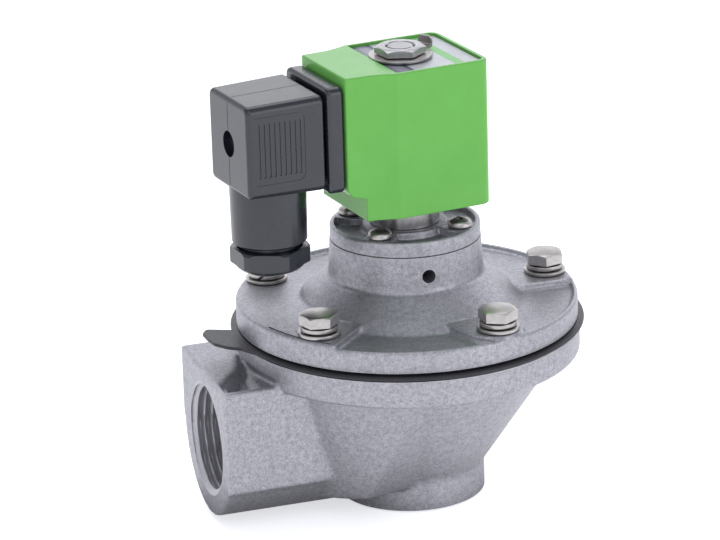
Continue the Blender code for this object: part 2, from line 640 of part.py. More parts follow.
def cover_pads():
    """Raised lands under the bolt heads, which run into the cone. The two by the inlet are one."""
    low = COVER_DECK_Z - GAP
    reach = COVER_RADIUS - 0.4 * MM
    slope = (CONE_FOOT_RADIUS - CONE_TOP_RADIUS) / (CONE_TOP_Z - COVER_DECK_Z)
    inner = CONE_FOOT_RADIUS - slope * PAD_HEIGHT - 2 * GAP
    pads = []
    sector = arc(0, 0, reach, 180.0 - LEFT_PAD_HALF_ANGLE, 180.0 + LEFT_PAD_HALF_ANGLE, 12)
    sector += arc(0, 0, inner, 180.0 + LEFT_PAD_HALF_ANGLE, 180.0 - LEFT_PAD_HALF_ANGLE, 4)
    pads.append(prism("left_pad", sector, low, PAD_Z))
    for x, y, angle in around(BOLT_COUNT, BOLT_CIRCLE_RADIUS):
        if abs(angle - 180.0) > LEFT_PAD_HALF_ANGLE:
            strip = arc(BOLT_CIRCLE_RADIUS - 1.8 * MM, 0, PAD_HALF_WIDTH, -90, 90, 8)
            strip += [(inner, PAD_HALF_WIDTH), (inner, -PAD_HALF_WIDTH)]
            pads.append(move(prism("pad", strip, low, PAD_Z), turn=angle))
    return pads


def cover_casting():
    edge = 0.7 * MM
    foot = NECK_RADIUS + NECK_DRAFT
    outer = [(COVER_RADIUS, COVER_Z), (COVER_RADIUS, COVER_DECK_Z - edge),
             (COVER_RADIUS - edge, COVER_DECK_Z),
             (CONE_FOOT_RADIUS, COVER_DECK_Z), (CONE_TOP_RADIUS, CONE_TOP_Z),
             (foot + 0.6 * MM, CONE_TOP_Z + 0.8 * MM), (foot, CONE_TOP_Z + 2.2 * MM),
             (NECK_RADIUS, NECK_TOP_Z)]
    counterbore = PILOT_DIAPHRAGM_RADIUS + GAP
    seat_z = PILOT_SEAT_Z - GAP
    groove_z = NECK_TOP_Z - EXHAUST_GROOVE_DEPTH
    inner = [(counterbore, NECK_TOP_Z), (counterbore, seat_z), (PILOT_GROOVE_RADIUS, seat_z),
             (PILOT_GROOVE_RADIUS, groove_z), (PILOT_SEAT_RADIUS, groove_z), (PILOT_SEAT_RADIUS, seat_z),
             (PILOT_BORE_RADIUS, seat_z), (PILOT_BORE_RADIUS, SPRING_ROOF_Z),
             (SPRING_POCKET_RADIUS, SPRING_ROOF_Z),
             (SPRING_POCKET_RADIUS, COVER_Z + COVER_ROOF), (COVER_ROOF_RADIUS, COVER_Z + COVER_ROOF),
             (CHAMBER_RADIUS, COVER_Z + COVER_SKIRT), (CHAMBER_RADIUS, COVER_Z)]
    cover = turned("cover_casting", outer + inner, "cast_aluminium", LARGE_STEPS)
    for pad in cover_pads():
        join(cover, pad)
    for x, y, angle in around(BOLT_COUNT, BOLT_CIRCLE_RADIUS):
        cut(cover, rod("bolt_hole", BOLT_RADIUS + GAP, COVER_Z - GAP, PAD_Z + GAP, "Z", (x, y), TINY_STEPS))
    screw_floor = NECK_TOP_Z - PILOT_SCREW_ENGAGEMENT - BOLT_HOLE_SPARE
    for x, y, angle in around(PILOT_SCREW_COUNT, PILOT_SCREW_CIRCLE_RADIUS, PILOT_SCREW_ANGLE):
        cut(cover, rod("screw_hole", PILOT_SCREW_RADIUS + GAP, screw_floor, NECK_TOP_Z + GAP, "Z", (x, y),
                       TINY_STEPS))
    exhaust = rod("exhaust", EXHAUST_RADIUS, PILOT_SEAT_RADIUS + GAP, foot + 2.0 * MM, "X", steps=16)
    move(exhaust, z=NECK_TOP_Z - EXHAUST_DROP, turn=EXHAUST_ANGLE)
    cut(cover, exhaust)
    return smooth(cover)


# Fasteners of the cover

def repeated(pattern, names, places):
    """Copies of one pattern, which share its mesh, at the given places."""
    copies = []
    for name, (x, y, angle) in zip(names, places):
        copy = bpy.data.objects.new(name, pattern.data)
        copy.location = (x, y, 0.0)
        copy.rotation_euler = (0.0, 0.0, radians(angle))
        bpy.context.scene.collection.objects.link(copy)
        copies.append(copy)
    bpy.data.objects.remove(pattern, do_unlink=True)
    return copies


def split_ring(name, inner, outer, low, high, finish_name):
    """Spring washer: a square ring, split and sprung a little out of flat."""
    steps = TINY_STEPS
    gap_angle = 7.0
    spread = 0.12 * MM
    shape = bmesh.new()
    rows = []
    for index in range(steps + 1):
        angle = radians(gap_angle + (360.0 - 2 * gap_angle) * index / steps)
        lift = spread * (index / steps - 0.5)
        corners = ((inner, low + spread / 2), (outer, low + spread / 2), (outer, high - spread / 2),
                   (inner, high - spread / 2))
        rows.append([shape.verts.new((radius * cos(angle), radius * sin(angle), height + lift))
                     for radius, height in corners])
    for row, following in zip(rows, rows[1:]):
        for side in range(4):
            other = (side + 1) % 4
            shape.faces.new((row[side], row[other], following[other], following[side]))
    shape.faces.new(rows[0])
    shape.faces.new(rows[-1])
    return smooth(place(name, shape, finish_name))


def cover_fasteners():
    """Five bolts, each with a spring washer and a flat washer under its head."""
    places = around(BOLT_COUNT, BOLT_CIRCLE_RADIUS)
    hole = BOLT_RADIUS + GAP
    flat_z = PAD_Z + FASTENER_GAP
    spring_z = flat_z + FLAT_WASHER_THICKNESS + FASTENER_GAP
    head_z = spring_z + SPRING_WASHER_THICKNESS + FASTENER_GAP
    flat_top = flat_z + FLAT_WASHER_THICKNESS
    washer = turned("flat_washer", [(hole, flat_z), (FLAT_WASHER_RADIUS, flat_z),
                                    (FLAT_WASHER_RADIUS, flat_top),
                                    (hole, flat_top)], "bright_steel", 16)
    ring = split_ring("spring_washer", hole, SPRING_WASHER_RADIUS, spring_z,
                      spring_z + SPRING_WASHER_THICKNESS,
                      "bright_steel")
    bolt = hex_head("cover_bolt", BOLT_FLATS, head_z, head_z + BOLT_HEAD_HEIGHT, 15.0, "bright_steel")
    foot = BODY_HEIGHT - BOLT_ENGAGEMENT
    join(bolt, turned("shank", [(0, foot), (BOLT_RADIUS - 0.6 * MM, foot), (BOLT_RADIUS, foot + 0.6 * MM),
                                (BOLT_RADIUS, head_z + GAP), (0, head_z + GAP)], steps=TINY_STEPS))
    for pattern in (washer, ring, bolt):
        base = pattern.name
        repeated(smooth(pattern), [f"{base}_{number}" for number in range(1, BOLT_COUNT + 1)], places)


# Pilot stage in the neck

def pilot_stage():
    low = PILOT_SEAT_Z
    smooth(turned("pilot_diaphragm", [(0, low), (PILOT_DIAPHRAGM_RADIUS, low),
                                      (PILOT_DIAPHRAGM_RADIUS, low + PILOT_DIAPHRAGM_THICKNESS),
                                      (0, low + PILOT_DIAPHRAGM_THICKNESS)], "black_rubber"))
    disc_top = PILOT_PLATE_Z + PILOT_DISC_THICKNESS
    smooth(turned("pilot_disc", [(0, PILOT_PLATE_Z), (PILOT_DISC_RADIUS, PILOT_PLATE_Z),
                                 (PILOT_DISC_RADIUS, disc_top),
                                 (0, disc_top)], "plain_steel", SMALL_STEPS))
    spring("pilot_spring", PILOT_SPRING_RADIUS, PILOT_SPRING_WIRE, disc_top + GAP,
           NOZZLE_Z - NOZZLE_ROOF - GAP,
           PILOT_SPRING_TURNS, TINY_STEPS, 4)


def pilot_plate():
    """Cap of the neck: a rim, four screw bosses and a hub with the pilot nozzle."""
    edge = 0.4 * MM
    rim = PILOT_PLATE_RADIUS - PILOT_RIM_WIDTH
    floor = PILOT_PLATE_TOP_Z - PILOT_POCKET_DEPTH
    roof = NOZZLE_Z - NOZZLE_ROOF
    spring_bore = PILOT_DISC_RADIUS + 1.0 * MM
    step = PILOT_PLATE_Z + CONTROL_CHAMBER_HEIGHT
    profile = [(PILOT_PLATE_RADIUS, PILOT_PLATE_Z), (PILOT_PLATE_RADIUS, PILOT_PLATE_TOP_Z - edge),
               (PILOT_PLATE_RADIUS - edge, PILOT_PLATE_TOP_Z), (rim, PILOT_PLATE_TOP_Z), (rim - edge, floor),
               (PILOT_HUB_RADIUS + edge, floor), (PILOT_HUB_RADIUS, PILOT_PLATE_TOP_Z),
               (NOZZLE_HUB_RADIUS, PILOT_PLATE_TOP_Z), (NOZZLE_HUB_RADIUS, NOZZLE_Z),
               (NOZZLE_RADIUS, NOZZLE_Z),
               (NOZZLE_RADIUS, roof), (spring_bore, roof), (spring_bore, step),
               (CONTROL_CHAMBER_RADIUS, step), (CONTROL_CHAMBER_RADIUS, PILOT_PLATE_Z)]
    plate = turned("pilot_plate", profile, "cast_aluminium")
    places = around(PILOT_SCREW_COUNT, PILOT_SCREW_CIRCLE_RADIUS, PILOT_SCREW_ANGLE)
    for x, y, angle in places:
        lug = arc(PILOT_SCREW_CIRCLE_RADIUS - 0.5 * PILOT_BOSS_RADIUS, 0, PILOT_BOSS_RADIUS, 90, 270, 8)
        lug += [(rim + 0.5 * PILOT_RIM_WIDTH, -PILOT_BOSS_RADIUS),
                (rim + 0.5 * PILOT_RIM_WIDTH, PILOT_BOSS_RADIUS)]
        join(plate, move(prism("lug", lug, floor - 0.5 * MM, PILOT_PLATE_TOP_Z - 0.02 * MM), turn=angle))
    for x, y, angle in places:
        cut(plate, rod("hole", PILOT_SCREW_RADIUS + GAP, PILOT_PLATE_Z - GAP, PILOT_PLATE_TOP_Z + GAP,
                       "Z", (x, y), 12))
    return smooth(plate)


def pilot_screws():
    """Pan-head screws with a cross recess."""
    places = around(PILOT_SCREW_COUNT, PILOT_SCREW_CIRCLE_RADIUS, PILOT_SCREW_ANGLE)
    head_z = PILOT_PLATE_TOP_Z + FASTENER_GAP
    head_top = head_z + PILOT_SCREW_HEAD_HEIGHT
    foot = NECK_TOP_Z - PILOT_SCREW_ENGAGEMENT
    radius = PILOT_SCREW_HEAD_RADIUS
    screw = turned("pilot_screw", [(0, foot), (PILOT_SCREW_RADIUS, foot), (PILOT_SCREW_RADIUS, head_z),
                                   (radius, head_z),
                                   (radius, head_z + 0.45 * PILOT_SCREW_HEAD_HEIGHT),
                                   (0.82 * radius, head_top - 0.3 * MM),
                                   (0.55 * radius, head_top), (0, head_top)], "bright_steel", TINY_STEPS)
    reach, half = 0.6 * radius, 0.14 * radius
    for turn in (0.0, 90.0):
        slot = prism("slot", [(-reach, -half), (reach, -half), (reach, half), (-reach, half)],
                     head_top - 1.1 * MM, head_top + GAP)
        cut(screw, move(slot, turn=turn))
    repeated(smooth(screw), [f"pilot_screw_{number}" for number in range(1, PILOT_SCREW_COUNT + 1)], places)


# Core tube and plunger

def core_tube():
    """Non-magnetic tube with the collar that holds it to the pilot plate."""
    collar_top = TUBE_Z + CORE_COLLAR_HEIGHT
    socket = NOZZLE_HUB_RADIUS + GAP
    socket_top = NOZZLE_Z + GAP
    edge = 0.4 * MM
    return smooth(turned("core_tube", [
        (socket, TUBE_Z), (CORE_COLLAR_RADIUS, TUBE_Z), (CORE_COLLAR_RADIUS, collar_top - edge),
        (CORE_COLLAR_RADIUS - edge, collar_top), (TUBE_RADIUS, collar_top), (TUBE_RADIUS, TUBE_TOP_Z),
        (TUBE_BORE_RADIUS, TUBE_TOP_Z), (TUBE_BORE_RADIUS, socket_top), (socket, socket_top)], "plain_steel",
        SMALL_STEPS))


def seal_ring():
    """Rubber ring between the collar and the coil."""
    collar_top = TUBE_Z + CORE_COLLAR_HEIGHT
    centre_z = 0.5 * (collar_top + COIL_Z)
    wire = 0.5 * (COIL_Z - collar_top) - GAP
    section = [(TUBE_RADIUS + GAP + wire + wire * cos(tau * side / 6), centre_z + wire * sin(tau * side / 6))
               for side in range(6)]
    return smooth(turned("coil_seal_ring", section, "black_rubber", 16), 70.0)


def fixed_core():
    """Iron stop above the plunger, with the stud that holds the coil down."""
    radius = TUBE_BORE_RADIUS - GAP
    shoulder = TUBE_TOP_Z + GAP
    stud_z = RECESS_Z - GAP
    top = NUT_Z + NUT_HEIGHT - 0.3 * MM
    return smooth(turned("fixed_core", [
        (0, FIXED_CORE_Z), (radius, FIXED_CORE_Z), (radius, shoulder), (TUBE_RADIUS, shoulder),
                                        (TUBE_RADIUS, stud_z),
        (STUD_RADIUS, stud_z), (STUD_RADIUS, top - 0.4 * MM), (STUD_RADIUS - 0.4 * MM, top), (0, top)],
        "plain_steel", SMALL_STEPS))


def plunger():
    """Sliding iron core, with the bore for its spring above and the seal's seat below."""
    seal_bore = PLUNGER_SEAL_RADIUS + GAP
    seal_top = NOZZLE_Z + GAP + PLUNGER_SEAL_THICKNESS + GAP
    floor = PLUNGER_TOP_Z - PLUNGER_BORE_DEPTH
    return smooth(turned("plunger", [
        (0, seal_top), (seal_bore, seal_top), (seal_bore, PLUNGER_Z), (PLUNGER_RADIUS, PLUNGER_Z),
        (PLUNGER_RADIUS, PLUNGER_TOP_Z), (PLUNGER_BORE_RADIUS, PLUNGER_TOP_Z), (PLUNGER_BORE_RADIUS, floor),
        (0, floor)], "plain_steel", SMALL_STEPS))


def plunger_parts():
    low = NOZZLE_Z + GAP
    high = low + PLUNGER_SEAL_THICKNESS
    smooth(turned("plunger_seal", [(0, low), (PLUNGER_SEAL_RADIUS, low), (PLUNGER_SEAL_RADIUS, high),
                                   (0, high)],
                  "black_rubber", 16))
    spring("plunger_spring", PLUNGER_SPRING_RADIUS, PLUNGER_SPRING_WIRE,
           PLUNGER_TOP_Z - PLUNGER_BORE_DEPTH + GAP,
           FIXED_CORE_Z - GAP, PLUNGER_SPRING_TURNS, 9, 4)


# Coil, turned a little about the core tube

def coil_outline(inset=0.0, port_x=COIL_PORT_X):
    """Plan of the coil: a block whose sides draw in to the connector's end."""
    front = COIL_FRONT_X - inset
    side = COIL_HALF_WIDTH - inset
    port = COIL_PORT_HALF_WIDTH - inset
    corner = COIL_CORNER_RADIUS - inset
    draw = side - port
    upper = arc(front - corner, side - corner, corner, 0, 90, 5)
    upper += [(COIL_KINK_X, side), (COIL_KINK_X - 1.2 * draw, side - 0.58 * draw),
              (COIL_KINK_X - 2.8 * draw, port + 0.06 * draw), (port_x + inset, port)]
    return upper + [(u, -v) for u, v in reversed(upper)]


def coil_housing():
    housing = prism("coil_housing", coil_outline(), COIL_Z, COIL_TOP_Z, "green_moulding")
    port_foot = COIL_Z + COIL_PORT_RISE
    under = prism("under", [(COIL_PORT_X - GAP, COIL_Z - GAP), (COIL_BACK_X, COIL_Z - GAP),
                            (COIL_BACK_X, port_foot - COIL_PORT_SLOPE),
                            (0.3 * COIL_BACK_X + 0.7 * COIL_PORT_X, port_foot - 0.6 * COIL_PORT_SLOPE),
                            (COIL_PORT_X - GAP, port_foot)],
                  -COIL_HALF_WIDTH - GAP, COIL_HALF_WIDTH + GAP, along="Y")
    cut(housing, under)
    soften(housing, COIL_EDGE, 2, 50.0)
    recess = coil_outline(RECESS_RIM)
    recess = [(max(u, RECESS_BACK_X), v) for u, v in recess
              if u > RECESS_BACK_X or abs(u - COIL_KINK_X) < RECESS_RIM]
    cut(housing, prism("recess", recess, RECESS_Z, COIL_TOP_Z + GAP))
    left, right, side = coil_cavity()
    cut(housing, prism("cavity", rounded_box(left, right, -side, side, CAVITY_CORNER, 2), COIL_Z - GAP,
                       COIL_TOP_Z - COIL_ROOF))
    cut(housing, rod("bore", TUBE_RADIUS + 0.4 * MM, COIL_Z, COIL_TOP_Z + GAP, "Z"))
    return smooth(housing)


def coil_cavity():
    """Room for the windings: its back, front and half width."""
    return COIL_BACK_X + COIL_WALL, COIL_FRONT_X - COIL_WALL, COIL_HALF_WIDTH - COIL_WALL


def coil_yoke():
    """Steel frame that carries the flux round the windings."""
    left, right, side = coil_cavity()
    low, high = COIL_Z + GAP, COIL_TOP_Z - COIL_ROOF - GAP
    thick = YOKE_THICKNESS
    outline = [(left + GAP, low), (right - GAP, low), (right - GAP, high), (left + GAP, high),
               (left + GAP, high - thick), (right - GAP - thick, high - thick),
               (right - GAP - thick, low + thick), (left + GAP, low + thick)]
    reach = side - CAVITY_CORNER - GAP
    yoke = prism("coil_yoke", outline, -reach, reach, "plain_steel", along="Y")
    cut(yoke, rod("bore", TUBE_RADIUS + 0.4 * MM, COIL_Z - GAP, COIL_TOP_Z, "Z"))
    return smooth(yoke)


def coil_windings():
    low = COIL_Z + 2 * GAP + YOKE_THICKNESS
    high = COIL_TOP_Z - COIL_ROOF - 2 * GAP - YOKE_THICKNESS
    bore = TUBE_RADIUS + 0.4 * MM
    flange = 1.0 * MM
    reach = WINDING_RADIUS + 0.4 * MM
    smooth(turned("coil_bobbin", [(bore, low), (reach, low), (reach, low + flange),
                                  (bore + BOBBIN_WALL, low + flange),
                                  (bore + BOBBIN_WALL, high - flange), (reach, high - flange), (reach, high),
                                  (bore, high)], "bobbin_moulding", SMALL_STEPS))
    inner = bore + BOBBIN_WALL + GAP
    smooth(turned("coil_winding", [(inner, low + flange + GAP), (WINDING_RADIUS, low + flange + GAP),
                                   (WINDING_RADIUS, high - flange - GAP), (inner, high - flange - GAP)],
                  "copper", SMALL_STEPS))


def label_plate():
    """Bare plate in the recess, held down by the clip."""
    outline = coil_outline(RECESS_RIM + GAP)
    back = RECESS_BACK_X + GAP
    outline = [(max(u, back), v) for u, v in outline if u > back or abs(u - COIL_KINK_X) < RECESS_RIM]
    high = LABEL_Z + LABEL_THICKNESS
    plate = prism("label_plate", outline, LABEL_Z, high, "label_silver")
    cut(plate, rod("hole", STUD_RADIUS + GAP, LABEL_Z - GAP, high + GAP, "Z"))
    return smooth(plate)


def retaining_clip():
    """Round clip under the nut, with one tongue turned up beside it."""
    high = CLIP_Z + CLIP_THICKNESS
    hole = STUD_RADIUS + GAP
    clip = turned("retaining_clip", [(hole, CLIP_Z), (CLIP_RADIUS, CLIP_Z), (CLIP_RADIUS, high),
                                     (hole, high)],
                  "bright_steel", SMALL_STEPS)
    root, bend, reach = 0.7 * CLIP_RADIUS, CLIP_TAB_REACH - CLIP_THICKNESS, CLIP_TAB_REACH
    top = high + CLIP_TAB_HEIGHT
    side = [(root, CLIP_Z), (reach, CLIP_Z), (reach, top), (bend, top), (bend, high), (root, high)]
    tab = prism("tab", side, -0.5 * CLIP_TAB_WIDTH, 0.5 * CLIP_TAB_WIDTH, along="Y")
    join(clip, move(tab, turn=CLIP_TAB_ANGLE))
    return smooth(clip)


def coil_nut():
    nut = hex_head("coil_nut", NUT_FLATS, NUT_Z, NUT_Z + NUT_HEIGHT, NUT_TURN, "bright_steel")
    cut(nut, rod("thread", STUD_RADIUS + GAP, NUT_Z - GAP, NUT_Z + NUT_HEIGHT + GAP, "Z", steps=16))
    return smooth(nut)


# Connector

def connector_base():
    """Black base on the coil, which holds the contact pins."""
    front = BASE_X - BASE_THICKNESS
    low, high = CONNECTOR_AXIS_Z - BASE_HALF_HEIGHT, CONNECTOR_AXIS_Z + BASE_HALF_HEIGHT
    base = prism("connector_base", rounded_box(-BASE_HALF_WIDTH, BASE_HALF_WIDTH, low, high, 1.6 * MM),
                 front, BASE_X, "black_moulding", along="X")
    soften(base, BASE_EDGE, 2, 60.0)
    cut(base, rod("screw_hole", CONNECTOR_SCREW_RADIUS + GAP, front - GAP, BASE_X - 0.8 * MM, "X",
                  (0.0, CONNECTOR_AXIS_Z), TINY_STEPS))
    for y, z, wide, tall in pin_places():
        reach_y, reach_z = 0.5 * wide + GAP, 0.5 * tall + GAP
        slot = [(y - reach_y, z - reach_z), (y + reach_y, z - reach_z), (y + reach_y, z + reach_z),
                (y - reach_y, z + reach_z)]
        cut(base, prism("slot", slot, front - GAP, front + 2.5 * MM, along="X"))
    return smooth(base)


def pin_places():
    """Two supply blades stand beside the screw and the earth blade lies above it."""
    return [(-PIN_SPACING, CONNECTOR_AXIS_Z, PIN_THICKNESS, PIN_WIDTH),
            (PIN_SPACING, CONNECTOR_AXIS_Z, PIN_THICKNESS, PIN_WIDTH),
            (0.0, CONNECTOR_AXIS_Z + PIN_SPACING, PIN_WIDTH, PIN_THICKNESS)]


def contact_pins():
    front = BASE_X - BASE_THICKNESS
    for number, (y, z, wide, tall) in enumerate(pin_places(), 1):
        blade = [(y - wide / 2, z - tall / 2), (y + wide / 2, z - tall / 2), (y + wide / 2, z + tall / 2),
                 (y - wide / 2, z + tall / 2)]
        pin = prism(f"contact_pin_{number}", blade, front - PIN_LENGTH, front + 2.5 * MM - GAP, "brass",
                    along="X")
        smooth(pin)


def connector_gasket():
    """Square rubber seal in the joint, pierced for the blades and the screw."""
    face = BASE_X - BASE_THICKNESS - GAP
    side = HOUSING_HALF_WIDTH - HOUSING_WALL - GAP
    tall = HOUSING_HALF_HEIGHT - HOUSING_WALL - GAP
    gasket = prism("connector_gasket", rounded_box(-side, side, CONNECTOR_AXIS_Z - tall,
                                                   CONNECTOR_AXIS_Z + tall, 1.5 * MM, 2),
                   face - GASKET_THICKNESS, face, "black_rubber", along="X")
    window = PIN_SPACING + PIN_THICKNESS + GAP
    inner = rounded_box(-window, window, CONNECTOR_AXIS_Z - window, CONNECTOR_AXIS_Z + window, 1.5 * MM, 2)
    cut(gasket, prism("window", inner, face - GASKET_THICKNESS - GAP, face + GAP, along="X"))
    return smooth(gasket)


def housing_shell(inset, end_x, mouth_x):
    """Tapered square box of the connector, as a loft from its end to its mouth."""
    rings = []
    for x, half in ((end_x, HOUSING_END_HALF_WIDTH), (mouth_x, HOUSING_HALF_WIDTH)):
        side = half - inset
        tall = HOUSING_HALF_HEIGHT - inset - (HOUSING_HALF_WIDTH - half)
        outline = rounded_box(-side, side, CONNECTOR_AXIS_Z - tall, CONNECTOR_AXIS_Z + tall, 1.4 * MM, 2)
        rings.append([(x, v, w) for v, w in outline])
    return loft("housing_shell", rings)


def rib_panel(side):
    """Tools for the grip panel on one flank: a row of upright grooves."""
    centre_x = 0.5 * (HOUSING_X + HOUSING_END_X) - 0.6 * MM
    pitch = 1.7 * PANEL_HALF_WIDTH / RIB_COUNT
    tools = []
    reach = side * (HOUSING_HALF_WIDTH + GAP)
    floor = side * (0.5 * (HOUSING_HALF_WIDTH + HOUSING_END_HALF_WIDTH) - RIB_DEPTH)
    middle = CONNECTOR_AXIS_Z + 0.5 * MM
    low, high = middle - 0.82 * PANEL_HALF_HEIGHT, middle + 0.82 * PANEL_HALF_HEIGHT
    for index in range(RIB_COUNT):
        x = centre_x + pitch * (index - 0.5 * (RIB_COUNT - 1))
        groove = [(x - 0.25 * pitch, low), (x + 0.25 * pitch, low), (x + 0.25 * pitch, high),
                  (x - 0.25 * pitch, high)]
        tools.append(prism("groove", groove, min(floor, reach), max(floor, reach), along="Y"))
    return tools


def connector_housing():
    housing = housing_shell(0.0, HOUSING_END_X, HOUSING_X)
    housing.name = "connector_housing"
    housing.data.materials.append(finish("black_moulding"))
    soften(housing, HOUSING_EDGE, 2, 60.0)
    gland_top = CONNECTOR_AXIS_Z - HOUSING_HALF_HEIGHT + HOUSING_WALL
    barrel = turned("barrel", [(0, BARREL_FOOT_Z - GLAND_SPIGOT_LENGTH),
                               (GLAND_SPIGOT_RADIUS, BARREL_FOOT_Z - GLAND_SPIGOT_LENGTH),
                               (GLAND_SPIGOT_RADIUS, BARREL_FOOT_Z),
                               (GLAND_BARREL_RADIUS - 0.9 * MM, BARREL_FOOT_Z),
                               (GLAND_BARREL_RADIUS, BARREL_FOOT_Z + 0.9 * MM),
                               (GLAND_BARREL_RADIUS + 0.2 * MM, gland_top - 0.4 * MM),
                               (0, gland_top - 0.4 * MM)])
    join(housing, move(barrel, x=GLAND_AXIS_X))
    cut(housing, housing_shell(HOUSING_WALL, HOUSING_END_X + HOUSING_WALL, HOUSING_X + GAP))
    bore_top = gland_top + HOUSING_HALF_WIDTH - HOUSING_END_HALF_WIDTH + 2 * GAP
    cut(housing, rod("cable_bore", GLAND_BORE_RADIUS, BARREL_FOOT_Z - GLAND_SPIGOT_LENGTH - GAP, bore_top,
                     "Z", (GLAND_AXIS_X, 0.0)))
    well = rod("well", SCREW_WELL_RADIUS + HOUSING_WALL * 0.7, HOUSING_END_X + 0.5 * HOUSING_WALL,
               HOUSING_END_X + SCREW_WELL_DEPTH + HOUSING_WALL, "X", (0.0, CONNECTOR_AXIS_Z), 16)
    join(housing, well)
    cut(housing, rod("well_bore", SCREW_WELL_RADIUS, HOUSING_END_X - GAP,
                     HOUSING_END_X + SCREW_WELL_DEPTH, "X",
                     (0.0, CONNECTOR_AXIS_Z), 16))
    cut(housing, rod("screw_hole", CONNECTOR_SCREW_RADIUS + GAP, HOUSING_END_X + 0.5 * SCREW_WELL_DEPTH,
                     HOUSING_END_X + SCREW_WELL_DEPTH + 2 * HOUSING_WALL, "X", (0.0, CONNECTOR_AXIS_Z),
                     TINY_STEPS))
    for side in (-1.0, 1.0):
        for groove in rib_panel(side):
            cut(housing, groove)
    return smooth(housing)


def terminal_block():
    """Insert behind the gasket, with sockets for the three blades."""
    side = HOUSING_END_HALF_WIDTH - HOUSING_WALL - 2 * GAP
    back = BASE_X - BASE_THICKNESS - GAP - GASKET_THICKNESS - GAP
    front = HOUSING_END_X + SCREW_WELL_DEPTH + HOUSING_WALL + GAP
    block = prism("terminal_block", rounded_box(-side, side, CONNECTOR_AXIS_Z - side + 4.0 * MM,
                                                CONNECTOR_AXIS_Z + side, 1.5 * MM, 2),
                  front, back, "black_moulding", along="X")
    cut(block, rod("screw_hole", CONNECTOR_SCREW_RADIUS + GAP, front - GAP, back + GAP, "X",
                   (0.0, CONNECTOR_AXIS_Z), TINY_STEPS))
    depth = BASE_X - BASE_THICKNESS - PIN_LENGTH - GAP
    for y, z, wide, tall in pin_places():
        reach_y, reach_z = 0.5 * wide + GAP, 0.5 * tall + GAP
        slot = [(y - reach_y, z - reach_z), (y + reach_y, z - reach_z), (y + reach_y, z + reach_z),
                (y - reach_y, z + reach_z)]
        cut(block, prism("slot", slot, depth, back + GAP, along="X"))
    return smooth(block)


def connector_screw():
    """Long screw that holds the connector to the coil's base, lying along X."""
    head_x = HOUSING_END_X + SCREW_WELL_DEPTH - GAP
    tip_x = BASE_X - 1.6 * MM
    length = tip_x - head_x
    radius = CONNECTOR_SCREW_HEAD_RADIUS
    high = CONNECTOR_SCREW_HEAD_HEIGHT
    screw = turned("connector_screw", [(0, -length), (CONNECTOR_SCREW_RADIUS, -length),
                                       (CONNECTOR_SCREW_RADIUS, 0), (radius, 0),
                                       (radius, 0.6 * high), (0.8 * radius, high), (0, high)],
                   "bright_steel", 16)
    slot = prism("slot", [(-1.2 * radius, -0.14 * radius), (1.2 * radius, -0.14 * radius),
                          (1.2 * radius, 0.14 * radius), (-1.2 * radius, 0.14 * radius)], 0.55 * high,
                 high + GAP)
    cut(screw, slot)
    head_place = Matrix.Translation((head_x, 0.0, CONNECTOR_AXIS_Z))
    screw.data.transform(head_place @ Matrix.Rotation(radians(-90), 4, "Y"))
    return smooth(screw)


def gland_nut():
    """Hexagon cap that squeezes the cable seal."""
    low, high = GLAND_NUT_Z, GLAND_NUT_Z + GLAND_NUT_HEIGHT
    nut = prism("gland_nut", hexagon(GLAND_NUT_FLATS, GLAND_NUT_TURN), low, high, "black_moulding")
    reach = GLAND_NUT_FLATS / sqrt(3.0)
    chamfer = turned("chamfer", [(0, low), (reach * 0.88, low), (reach * 0.985, low + 0.9 * MM),
                                 (reach * 0.985, high - 0.9 * MM),
                                 (reach * 0.9, high), (0, high)], steps=28)
    combine(nut, chamfer, "INTERSECT")
    cut(nut, rod("thread", GLAND_SPIGOT_RADIUS + GAP, low + GLAND_LIP, high + GAP, "Z"))
    cut(nut, rod("cable_hole", CABLE_HOLE_RADIUS, low - GAP, high, "Z", steps=16))
    return smooth(move(nut, x=GLAND_AXIS_X))


def gland_seal():
    """Rubber bush inside the spigot, with its bore for the cable."""
    radius = GLAND_BORE_RADIUS - GAP
    low = GLAND_NUT_Z + GLAND_LIP + GAP + GLAND_WASHER_THICKNESS + GAP
    high = low + GLAND_SEAL_LENGTH
    seal = turned("gland_seal", [(CABLE_SEAL_BORE, low), (radius, low), (radius, high - 1.0 * MM),
                                 (radius - 1.0 * MM, high), (CABLE_SEAL_BORE, high)], "black_rubber", 16)
    return smooth(move(seal, x=GLAND_AXIS_X))


def gland_washer():
    radius = GLAND_BORE_RADIUS - GAP
    low = GLAND_NUT_Z + GLAND_LIP + GAP
    high = low + GLAND_WASHER_THICKNESS
    bore = CABLE_HOLE_RADIUS - 0.4 * MM
    washer = turned("gland_washer", [(bore, low), (radius, low), (radius, high), (bore, high)],
                    "bright_steel", 16)
    return smooth(move(washer, x=GLAND_AXIS_X))


def on_coil_frame(pieces):
    """Parent the coil's pieces to an empty turned about the valve's axis."""
    frame = bpy.data.objects.new("coil_frame", None)
    frame.rotation_euler = (0.0, 0.0, radians(COIL_TURN))
    bpy.context.scene.collection.objects.link(frame)
    for piece in pieces:
        piece.parent = frame


